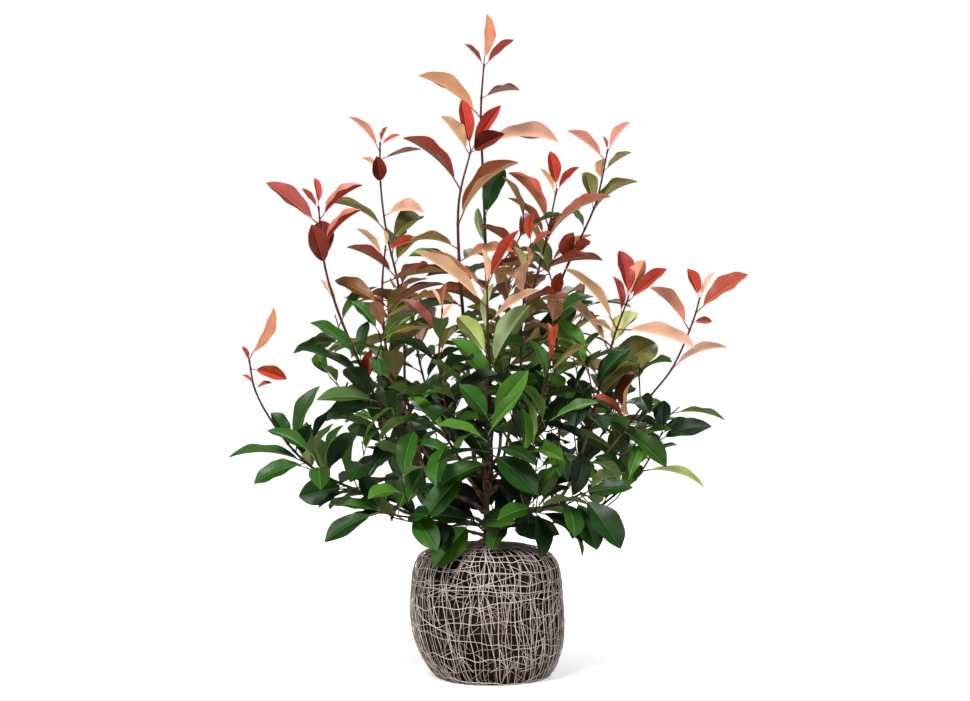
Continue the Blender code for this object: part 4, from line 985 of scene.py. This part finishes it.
def blade_lateral(leaf, t):
    """How far to the side of the midrib the fine blade's points lie, with its teeth."""
    half = 0.5 * leaf.width * np.sin(np.pi * t**BLADE_SKEW) ** BLADE_FULLNESS
    half *= 1 - TIP_NARROWING * np.clip((t - TIP_STARTS) / (1 - TIP_STARTS), 0, 1) ** 2
    rib_half = np.minimum(RIB_HALF * (1 - RIB_TAPER * t), 0.5 * half)
    tooth = 1 + TOOTH * (np.arange(ROWS + 1) % 2)[:, None] * BLADE_EDGES
    return ACROSS * (half - rib_half) * tooth + np.sign(ACROSS + RIB_EDGES) * rib_half


def blade_lift(leaf, t, lateral, rng):
    """How far above the midrib the fine blade's points stand: its fold, curl, waves, veins and groove."""
    wave_turn = rng.uniform(0, 2 * math.pi)
    waves = rng.uniform(*WAVES)
    curl = rng.uniform(*CURL) * at_age(CURL_SHARE, leaf.age)
    out = np.abs(lateral)
    lift = out * math.sin(leaf.fold) - curl * out**2 / (leaf.width / 2)
    wave = WAVE * leaf.width * np.sin(2 * np.pi * waves * t + wave_turn + (lateral > 0) * WAVE_OFFSET)
    lift += wave * (out / (leaf.width / 2)) ** 2
    on_vein = (np.arange(ROWS + 1) % VEIN_EVERY == 0)[:, None] * BLADE_INSIDE
    return lift - (VEIN_DEPTH * on_vein + RIB_GROOVE * RIB_MIDDLE) * np.sin(np.pi * t)


def fine_leaf(leaf, rng):
    """The points of one fine leaf: its upper side row by row, then its underside without the edges."""
    rows = np.linspace(0, 1, ROWS + 1)[:, None]
    t = np.clip(rows + SWEEP_FORWARD * np.sin(np.pi * rows) * np.abs(ACROSS), 0, 1)
    lateral = blade_lateral(leaf, t)
    lift = blade_lift(leaf, t, lateral, rng)
    sideways = rng.uniform(*SIDEWAYS) * leaf.length
    bend = max(leaf.bend, LEAST_BEND)
    angle = bend * (0.5 - PETIOLE_SHARE - (1 - PETIOLE_SHARE) * t)
    along = leaf.length * (math.sin(bend / 2) - np.sin(angle)) / bend
    rise = leaf.length * (np.cos(angle) - math.cos(bend / 2)) / bend
    aim, upper = np.array(leaf.aim), np.array(leaf.upper)
    upward = -np.sin(angle)[..., None] * aim + np.cos(angle)[..., None] * upper
    spread = lateral * math.cos(leaf.fold) + sideways * t**2
    top = np.array(leaf.root) + along[..., None] * aim + rise[..., None] * upper
    top += spread[..., None] * np.cross(aim, upper) + lift[..., None] * upward
    depth = BLADE_THICKNESS + RIB_DEPTH * RIB_MIDDLE * (1 - RIB_THINNING * t)
    under = (top - depth[..., None] * upward)[:, 1:-1]
    return np.concatenate([top.reshape(-1, 3), under.reshape(-1, 3)])


def leaf_faces():
    """(faces, slots) of the fine leaf, the same for every leaf, with the slots in the order of its looks."""
    last = COLUMNS - 1
    base = (ROWS + 1) * COLUMNS
    faces, slots = [], []

    def upper(r, c):
        return r * COLUMNS + c

    def under(r, c):
        return upper(r, c) if c in (0, last) else base + r * (COLUMNS - 2) + c - 1

    for r in range(ROWS):
        for c in range(last):
            # The second half of each leaf takes the darker copies of its tint: painted shade
            half = 0 if c < last / 2 else 1
            is_rib = c in (last // 2 - 1, last // 2)
            faces.append((upper(r, c), upper(r, c + 1), upper(r + 1, c + 1), upper(r + 1, c)))
            faces.append((under(r, c), under(r + 1, c), under(r + 1, c + 1), under(r, c + 1)))
            slots += [RIB_SLOT, RIB_SLOT] if is_rib else [half, 2 + half]
    return faces, slots


def stalk_line(leaf):
    """The leaf's stalk as (point, radius) spots."""
    spots = []
    for k in range(STALK_RINGS):
        run = k / (STALK_RINGS - 1)
        point, _, upward = leaf_station(leaf, PETIOLE_SHARE * STALK_RUN * run)
        radius = leaf.length * at_age(STALK_RADIUS, run)
        spots.append((point - STALK_DROP * upward, min(radius, STOUTEST_STALK)))
    return spots


def add_object(name, data):
    """A new object in the scene."""
    made = bpy.data.objects.new(name, data)
    bpy.context.scene.collection.objects.link(made)
    return made


class Mesher:
    """Gathers many small shapes into one mesh."""

    def __init__(self):
        self.points = []
        self.faces = []
        self.slots = []
        self.count = 0

    def add(self, points, faces, slots):
        """Adds one shape, with a slot for each face."""
        self.points.append(np.asarray(points, dtype=float))
        self.faces += [tuple(k + self.count for k in face) for face in faces]
        self.slots += slots
        self.count += len(points)

    def piece(self, name, materials):
        """Everything added, as one smooth object on the root body."""
        mesh = bpy.data.meshes.new(name)
        mesh.from_pydata(np.concatenate(self.points), [], self.faces)
        mesh.polygons.foreach_set("material_index", self.slots)
        mesh.polygons.foreach_set("use_smooth", [True] * len(self.faces))
        for each in materials:
            mesh.materials.append(each)
        mesh.set_sharp_from_angle(angle=SHARP_ANGLE)
        mesh.update()
        made = add_object(name, mesh)
        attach(made, "root")
        return made


# Fine wood
BARK_STEP = 4 * MM
TWIG_STEP = 5 * MM
TRUNK_SIDES = 18
BOUGH_SIDES = 12
STEM_SIDES = 8
BARK_RELIEF = 0.13
STEM_RELIEF = 0.06
GRAIN_ROUND = 2.2
GRAIN_ALONG = 0.35
GRAIN_SEED_STEP = 7.3
BURIED = 3 * MM
KNOT = 0.3
KNOT_REACH = 2.2 * MM
COLLAR = 0.5
COLLAR_REACH = 7 * MM
YOUNG_STEM = 24 * CM
GREEN_STEM = 4 * CM
FIRST_SCAR = 2 * CM
SCAR_SPACING = 1.9 * CM
SCAR_SCATTER = (0.7, 1.4)
BARK, STEM, YOUNG, GREEN_STALK, RED_STALK = range(5)
GREEN_STALKED = ("olive", "lime", "sage", "fresh", "green", "deep", "dark", "shade")


def add_tube(mesher, spots, sides, slot, relief=0.0, seed=0):
    """Adds a closed round tube along (point, radius) spots, with lengthwise relief on its side."""
    points, faces = tube(Course(spots), sides)
    if relief:
        for k, point in enumerate(points):
            centre = spots[k // sides][0]
            turn = 2 * math.pi * (k % sides) / sides
            level = k // sides * GRAIN_ALONG + seed * GRAIN_SEED_STEP
            grain = noise.noise(Vector((math.cos(turn) * GRAIN_ROUND, math.sin(turn) * GRAIN_ROUND, level)))
            points[k] = centre + (point - centre) * (1 + relief * grain)
    mesher.add([tuple(point) for point in points], faces, [slot] * len(faces))


def fine_spots(course, start, end, step):
    """The course between two distances as evenly spaced (point, radius) spots."""
    return course.stretch(start, end, max(int((end - start) / step), 2) + 1).spots


def swollen(spots, knots, size, reach):
    """The spots with a swelling at each knot, given as distances from the foot."""
    grown = []
    for (point, radius), distance in zip(spots, Course(spots).reach):
        near = min((abs(distance - knot) for knot in knots), default=math.inf)
        grown.append((point, radius * (1 + size * math.exp(-((near / reach) ** 2)))))
    return grown


def scars(name, end):
    """Where old leaf scars swell the bare bough, as distances from its foot."""
    rng = random.Random(f"{name} scars")
    found, at = [], FIRST_SCAR
    while at < end:
        found.append(at)
        at += SCAR_SPACING * rng.uniform(*SCAR_SCATTER)
    return found


def leaf_piece(name, growth, looks):
    """All the leaves of one mass of foliage, with five slots for each tint in use."""
    mesher = Mesher()
    faces, slots = leaf_faces()
    used = sorted({leaf.tint for leaf in growth.leaves}, key=list(TINTS).index)
    for k, leaf in enumerate(growth.leaves):
        first = (RIB_SLOT + 1) * used.index(leaf.tint)
        points = fine_leaf(leaf, random.Random(f"{name} fine {k}"))
        mesher.add(points, faces, [first + slot for slot in slots])
    piece = mesher.piece(f"leaves_{name}", [look for tint in used for look in looks[tint]])
    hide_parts(f"foliage_{name}")


def twig_piece(name, growth, seed, looks):
    """The stem, twigs and leaf stalks of one mass of foliage."""
    mesher = Mesher()
    length = growth.course.length
    leafy = length - growth.stem.length
    young = YOUNG_STEM if growth.limb.flush else GREEN_STEM
    cut = max(length - young, leafy)
    stretches = ((leafy, cut, STEM, STEM_RELIEF), (max(cut - BURIED, leafy), length, YOUNG, 0.0))
    for start, end, slot, relief in stretches:
        if end > start + TWIG_STEP:
            knots = [length - back - start for back in growth.node_backs]
            spots = swollen(fine_spots(growth.course, start, end, TWIG_STEP), knots, KNOT, KNOT_REACH)
            add_tube(mesher, spots, STEM_SIDES, slot, relief, seed)
    for twig in growth.twigs:
        add_tube(mesher, fine_spots(twig, 0, twig.length, TWIG_STEP), STEM_SIDES, STEM, STEM_RELIEF, seed)
    for leaf in growth.leaves:
        stalk = GREEN_STALK if leaf.tint in GREEN_STALKED else RED_STALK
        add_tube(mesher, stalk_line(leaf), STALK_SIDES, stalk)
    piece = mesher.piece(f"twigs_{name}", looks)
    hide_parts(f"foliage_{name}")


def bark_piece(growths, look):
    """The trunk and every bough, in one piece of bark."""
    mesher = Mesher()
    replaced = []
    for seed, (name, growth) in enumerate(growths.items()):
        course = growth.course
        if growth.limb is TRUNK:
            spots = flared(fine_spots(course, 0, course.length, BARK_STEP))
            add_tube(mesher, spots, TRUNK_SIDES, BARK, BARK_RELIEF, seed)
            replaced.append("trunk")
        elif growth.wood:
            leafy = course.length - growth.stem.length
            spots = fine_spots(course, max(growth.start - BURIED, 0.0), leafy + BURIED, BARK_STEP)
            spots = swollen(spots, [0.0], COLLAR, COLLAR_REACH)
            spots = swollen(spots, scars(name, leafy), KNOT, KNOT_REACH)
            add_tube(mesher, spots, BOUGH_SIDES, BARK, BARK_RELIEF, seed)
            replaced.append(f"bough_{name}")
    piece = mesher.piece("trunk_and_boughs", [look])
    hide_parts(*replaced)


# Fine soil, with relief as (how fine, how high)
SOIL_SEGMENTS = 160
SOIL_RINGS = 90
SOIL_GRAINS = ((38, 1.6 * MM), (120, 0.9 * MM), (330, 0.5 * MM))
SOIL_SINK = 1.4 * MM
SOIL_MERGE = 0.02 * MM

# Netting, where a level runs from -1 at the ball's foot to 1 at its top, and a pair is a range
NET_OFFSET = 1.3 * MM
NET_TOP = 0.93
GATHER_HEIGHT = 1.4 * CM
GATHER_REACH = 3.2 * CM
GATHER_STEEPNESS = 1.6
STEM_CLEARING = 8.5 * MM
STRAND_SIDES = 5
STRAND_RADIUS = 0.56 * MM
STOUTEST_STRAND = 1.25
WOBBLE_SEEDS = (0, 50)

UPRIGHTS = 106
UPRIGHT_POINTS = 46
UPRIGHT_SCATTER = (-0.38, 0.38)
UPRIGHT_LEAN = (-0.09, 0.09)
UPRIGHT_TOP = (0.93, 0.99)
UPRIGHT_FOOT = -0.99
UPRIGHT_WOBBLE = 0.055
UPRIGHT_WAVES = 5
UPRIGHT_LIFT = (0, 0.5 * MM)
UPRIGHT_STOUTNESS = (0.7, STOUTEST_STRAND)
BUNCHES = 11
BUNCHING = 0.085

HOOPS = 31
HOOP_STEPS = 140
HOOP_SCATTER = (-0.3, 0.3)
LOWEST_HOOP = -0.93
HOOP_SPAN = 1.74
HOOP_SLANT = (-0.09, 0.09)
HOOP_WOBBLE = 0.035
HOOP_WAVES = 4
HOOP_LIFT = (0.5 * MM, 0.9 * MM)
HOOP_STOUTNESS = (0.75, STOUTEST_STRAND)

LONG_STRANDS = 230
LONG_LEVELS = (-0.75, 0.85)
LONG_HEADINGS = ((0.1, 0.5), (1.0, 1.5))
LONG_REACH = (0.3, 0.75)
CRACKLE_STRANDS = 760
CRACKLE_SPAN = 1.25
CRACKLE_LOWNESS = 1.6
CRACKLE_HEADING = (0.1, 1.5)
CRACKLE_REACH = (0.08, 0.24)
LOOSE_STEPS = 10
LOOSE_ROUND = 1.1
LOOSE_RISE = 0.9
LOOSE_LIFT = (0.9 * MM, 1.2 * MM)
LOOSE_STOUTNESS = (0.5, 0.95)


def ball_point(turn, level, margin=0.0):
    """The root ball's surface at a turn round it, level running from -1 at the foot to 1 at the top."""
    slope = min(max(level, -1.0), 1.0) * math.pi / 2
    return ball_spot(turn, max(math.cos(slope), 0.0), math.sin(slope), margin)


def soil_piece(look):
    """The packed soil of the root ball, with its relief, cut flat underneath."""
    points = []
    for r in range(SOIL_RINGS + 1):
        level = -1 + 2 * r / SOIL_RINGS
        for s in range(SOIL_SEGMENTS):
            turn = 2 * math.pi * s / SOIL_SEGMENTS
            flat = ball_point(turn, level)
            relief = sum(height * noise.noise(flat * grain) for grain, height in SOIL_GRAINS)
            point = ball_point(turn, level, relief - SOIL_SINK)
            point.z = max(point.z, 0.0)
            points.append(tuple(point))
    faces = ring_faces(SOIL_RINGS + 1, SOIL_SEGMENTS)
    mesher = Mesher()
    mesher.add(points, faces, [0] * len(faces))
    piece = mesher.piece("root_ball_soil", [look])
    shape = bmesh.new()
    shape.from_mesh(piece.data)
    bmesh.ops.remove_doubles(shape, verts=shape.verts, dist=SOIL_MERGE)
    bmesh.ops.recalc_face_normals(shape, faces=shape.faces)
    shape.to_mesh(piece.data)
    shape.free()
    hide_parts("root_ball")


def on_net(turn, level, lift):
    """A spot of the netting: on the ball, drawn up into a cone round the stem, never below the ground."""
    point = ball_point(turn, level, NET_OFFSET + lift)
    reach = math.hypot(point.x, point.y)
    if level > 0 and reach < GATHER_REACH:
        point.z += GATHER_HEIGHT * (1 - reach / GATHER_REACH) ** GATHER_STEEPNESS
        if reach < STEM_CLEARING:
            point.x, point.y = STEM_CLEARING * math.cos(turn), STEM_CLEARING * math.sin(turn)
    point.z = max(point.z, STRAND_RADIUS * STOUTEST_STRAND)
    return point


def uprights(rng):
    """The netting's uprights as (points, stoutness), gathered into bunches towards the top."""
    for k in range(UPRIGHTS):
        turn = 2 * math.pi * (k + rng.uniform(*UPRIGHT_SCATTER)) / UPRIGHTS
        lean = rng.uniform(*UPRIGHT_LEAN)
        wobble = rng.uniform(*WOBBLE_SEEDS)
        top = rng.uniform(*UPRIGHT_TOP)
        points = []
        for j in range(UPRIGHT_POINTS):
            level = UPRIGHT_FOOT + (top - UPRIGHT_FOOT) * j / (UPRIGHT_POINTS - 1)
            drift = lean * level
            drift += UPRIGHT_WOBBLE * noise.noise(Vector((wobble, level * UPRIGHT_WAVES, 0)))
            drift += BUNCHING * max(0.0, level) ** 2 * math.sin(BUNCHES * turn)
            points.append(on_net(turn + drift, level, rng.uniform(*UPRIGHT_LIFT)))
        yield points, rng.uniform(*UPRIGHT_STOUTNESS)


def hoops(rng):
    """The netting's hoops as (points, stoutness), each with a slant and a wobble."""
    for k in range(HOOPS):
        base = LOWEST_HOOP + HOOP_SPAN * (k + rng.uniform(*HOOP_SCATTER)) / (HOOPS - 1)
        slant = rng.uniform(*HOOP_SLANT) * (1 - base**2)
        phase = rng.uniform(0, 2 * math.pi)
        wobble = rng.uniform(*WOBBLE_SEEDS)
        points = []
        for j in range(HOOP_STEPS + 1):
            turn = 2 * math.pi * j / HOOP_STEPS
            across, away = math.cos(turn) * HOOP_WAVES + wobble, math.sin(turn) * HOOP_WAVES
            level = base + slant * math.sin(turn + phase)
            level += HOOP_WOBBLE * noise.noise(Vector((across, away, 0)))
            points.append(on_net(turn, level, rng.uniform(*HOOP_LIFT)))
        yield points, rng.uniform(*HOOP_STOUTNESS)


def loose_strands(rng):
    """The slanting strands as (points, stoutness): long ones all over, then short ones, mostly low down."""
    for k in range(LONG_STRANDS + CRACKLE_STRANDS):
        turn = rng.uniform(0, 2 * math.pi)
        if k < LONG_STRANDS:
            level = rng.uniform(*LONG_LEVELS)
            heading = rng.choice((-1, 1)) * rng.choice([rng.uniform(*span) for span in LONG_HEADINGS])
            reach = rng.uniform(*LONG_REACH)
        else:
            level = LOWEST_HOOP + CRACKLE_SPAN * rng.random() ** CRACKLE_LOWNESS
            heading = rng.choice((-1, 1)) * rng.uniform(*CRACKLE_HEADING)
            reach = rng.uniform(*CRACKLE_REACH)
        across, rise = LOOSE_ROUND * reach * math.cos(heading), LOOSE_RISE * reach * math.sin(heading)
        points = []
        for j in range(LOOSE_STEPS + 1):
            share = j / LOOSE_STEPS
            high = min(level + rise * share, NET_TOP)
            points.append(on_net(turn + across * share, high, rng.uniform(*LOOSE_LIFT)))
        yield points, rng.uniform(*LOOSE_STOUTNESS)


def net_piece(looks):
    """The netting round the ball, its strands in two looks by turns."""
    mesher = Mesher()
    rng = random.Random("netting")
    for strands in (uprights, hoops, loose_strands):
        for k, (points, stoutness) in enumerate(strands(rng)):
            spots = [(point, STRAND_RADIUS * stoutness) for point in points]
            add_tube(mesher, spots, STRAND_SIDES, k % len(looks))
    piece = mesher.piece("root_ball_netting", looks)
    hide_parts("root_ball")


def dress():
    """Every piece of the plant and its root ball."""
    leaves, wood = leaf_looks(), wood_looks()
    growths = grow()
    masses = [(k, name, growths[name]) for k, name in enumerate(growths) if growths[name].stem]
    for _, name, growth in masses:
        leaf_piece(name, growth, leaves)
    for seed, name, growth in masses:
        twig_piece(name, growth, seed, wood)
    bark_piece(growths, wood[BARK])
    soil_piece(grained("soil", SOIL_STOPS, (160, 4), (14, 6), (0.6, 1.0 * MM), 0.95, 0.1))
    net_piece([plain("net_strand", (198, 186, 182), 0.8), plain("net_strand_dusty", (152, 132, 118), 0.85)])


# The studio
WHITE = (1, 1, 1, 1)
AMBIENT = 0.35
FLOOR_REACH = 30
FLOOR_COLOUR = (165, 165, 165)
FLOOR_GLOW = 0.58
NEAR_FLOOR = 0.14
FAR_FLOOR = 0.7
LAMPS = (
    ("key", (-1.2, -2.6, 2.8), 1.2, 205),
    ("fill", (2.2, -2.6, 1.2), 1.8, 58),
    ("back", (0.8, 2.2, 2.6), 1.6, 60),
)
LAMP_TARGET = Vector((0, 0, 0.55))
CAMERA_SENSOR = 36
CAMERA_LENS = 67.9
CAMERA_PLACE = (-0.0033, -3.0, 0.5335)


def pale_world():
    """A world that is white in the picture and dimmer as light."""
    world = bpy.data.worlds.new("studio")
    world.use_nodes = True
    tree = world.node_tree
    backdrop = tree.nodes["Background"]
    backdrop.inputs["Color"].default_value = WHITE
    backdrop.inputs["Strength"].default_value = 1.0
    ambient = add_node(tree, "Background", {"Color": WHITE, "Strength": AMBIENT})
    seen = add_node(tree, "LightPath")
    mix = add_node(tree, "MixShader")
    tree.links.new(seen.outputs["Is Camera Ray"], mix.inputs[0])
    tree.links.new(ambient.outputs[0], mix.inputs[1])
    tree.links.new(backdrop.outputs[0], mix.inputs[2])
    tree.links.new(mix.outputs[0], tree.nodes["World Output"].inputs["Surface"])
    return world


def floor_look():
    """A pale floor that the camera sees turn white away from the plant."""
    pale = plain("pale_floor", FLOOR_COLOUR, 1.0, 0.0)
    tree = pale.node_tree
    shader = tree.nodes["Principled BSDF"]
    shader.inputs["Emission Color"].default_value = WHITE
    seen = add_node(tree, "LightPath")
    place = add_node(tree, "TexCoord")
    distance = add_node(tree, "VectorMath", operation="LENGTH")
    span = {"From Min": NEAR_FLOOR, "From Max": FAR_FLOOR, "To Min": FLOOR_GLOW, "To Max": 1.0}
    rise = add_node(tree, "MapRange", span)
    glow = add_node(tree, "Math", operation="MULTIPLY")
    tree.links.new(place.outputs["Object"], distance.inputs[0])
    tree.links.new(distance.outputs["Value"], rise.inputs["Value"])
    tree.links.new(rise.outputs["Result"], glow.inputs[1])
    tree.links.new(seen.outputs["Is Camera Ray"], glow.inputs[0])
    tree.links.new(glow.outputs[0], shader.inputs["Emission Strength"])
    return pale


def studio():
    """The pale floor, the soft lights and the camera."""
    scene = bpy.context.scene
    scene.view_settings.view_transform = "Standard"
    scene.world = pale_world()
    floor_mesh = bpy.data.meshes.new("floor")
    corners = [(FLOOR_REACH * x, FLOOR_REACH * y, 0) for x, y in ((-1, -1), (1, -1), (1, 1), (-1, 1))]
    floor_mesh.from_pydata(corners, [], [(0, 1, 2, 3)])
    floor_mesh.materials.append(floor_look())
    floor = add_object("floor", floor_mesh)
    for name, place, size, power in LAMPS:
        lamp_data = bpy.data.lights.new(name, "AREA")
        lamp_data.shape = "DISK"
        lamp_data.size = size
        lamp_data.energy = power
        lamp = add_object(name, lamp_data)
        lamp.location = place
        lamp.rotation_euler = (LAMP_TARGET - Vector(place)).to_track_quat("-Z", "Y").to_euler()
    camera_data = bpy.data.cameras.new("camera")
    camera_data.sensor_width = CAMERA_SENSOR
    camera_data.lens = CAMERA_LENS
    camera = add_object("camera", camera_data)
    camera.location = CAMERA_PLACE
    camera.rotation_euler = (math.pi / 2, 0, 0)
    scene.camera = camera


dress()
studio()
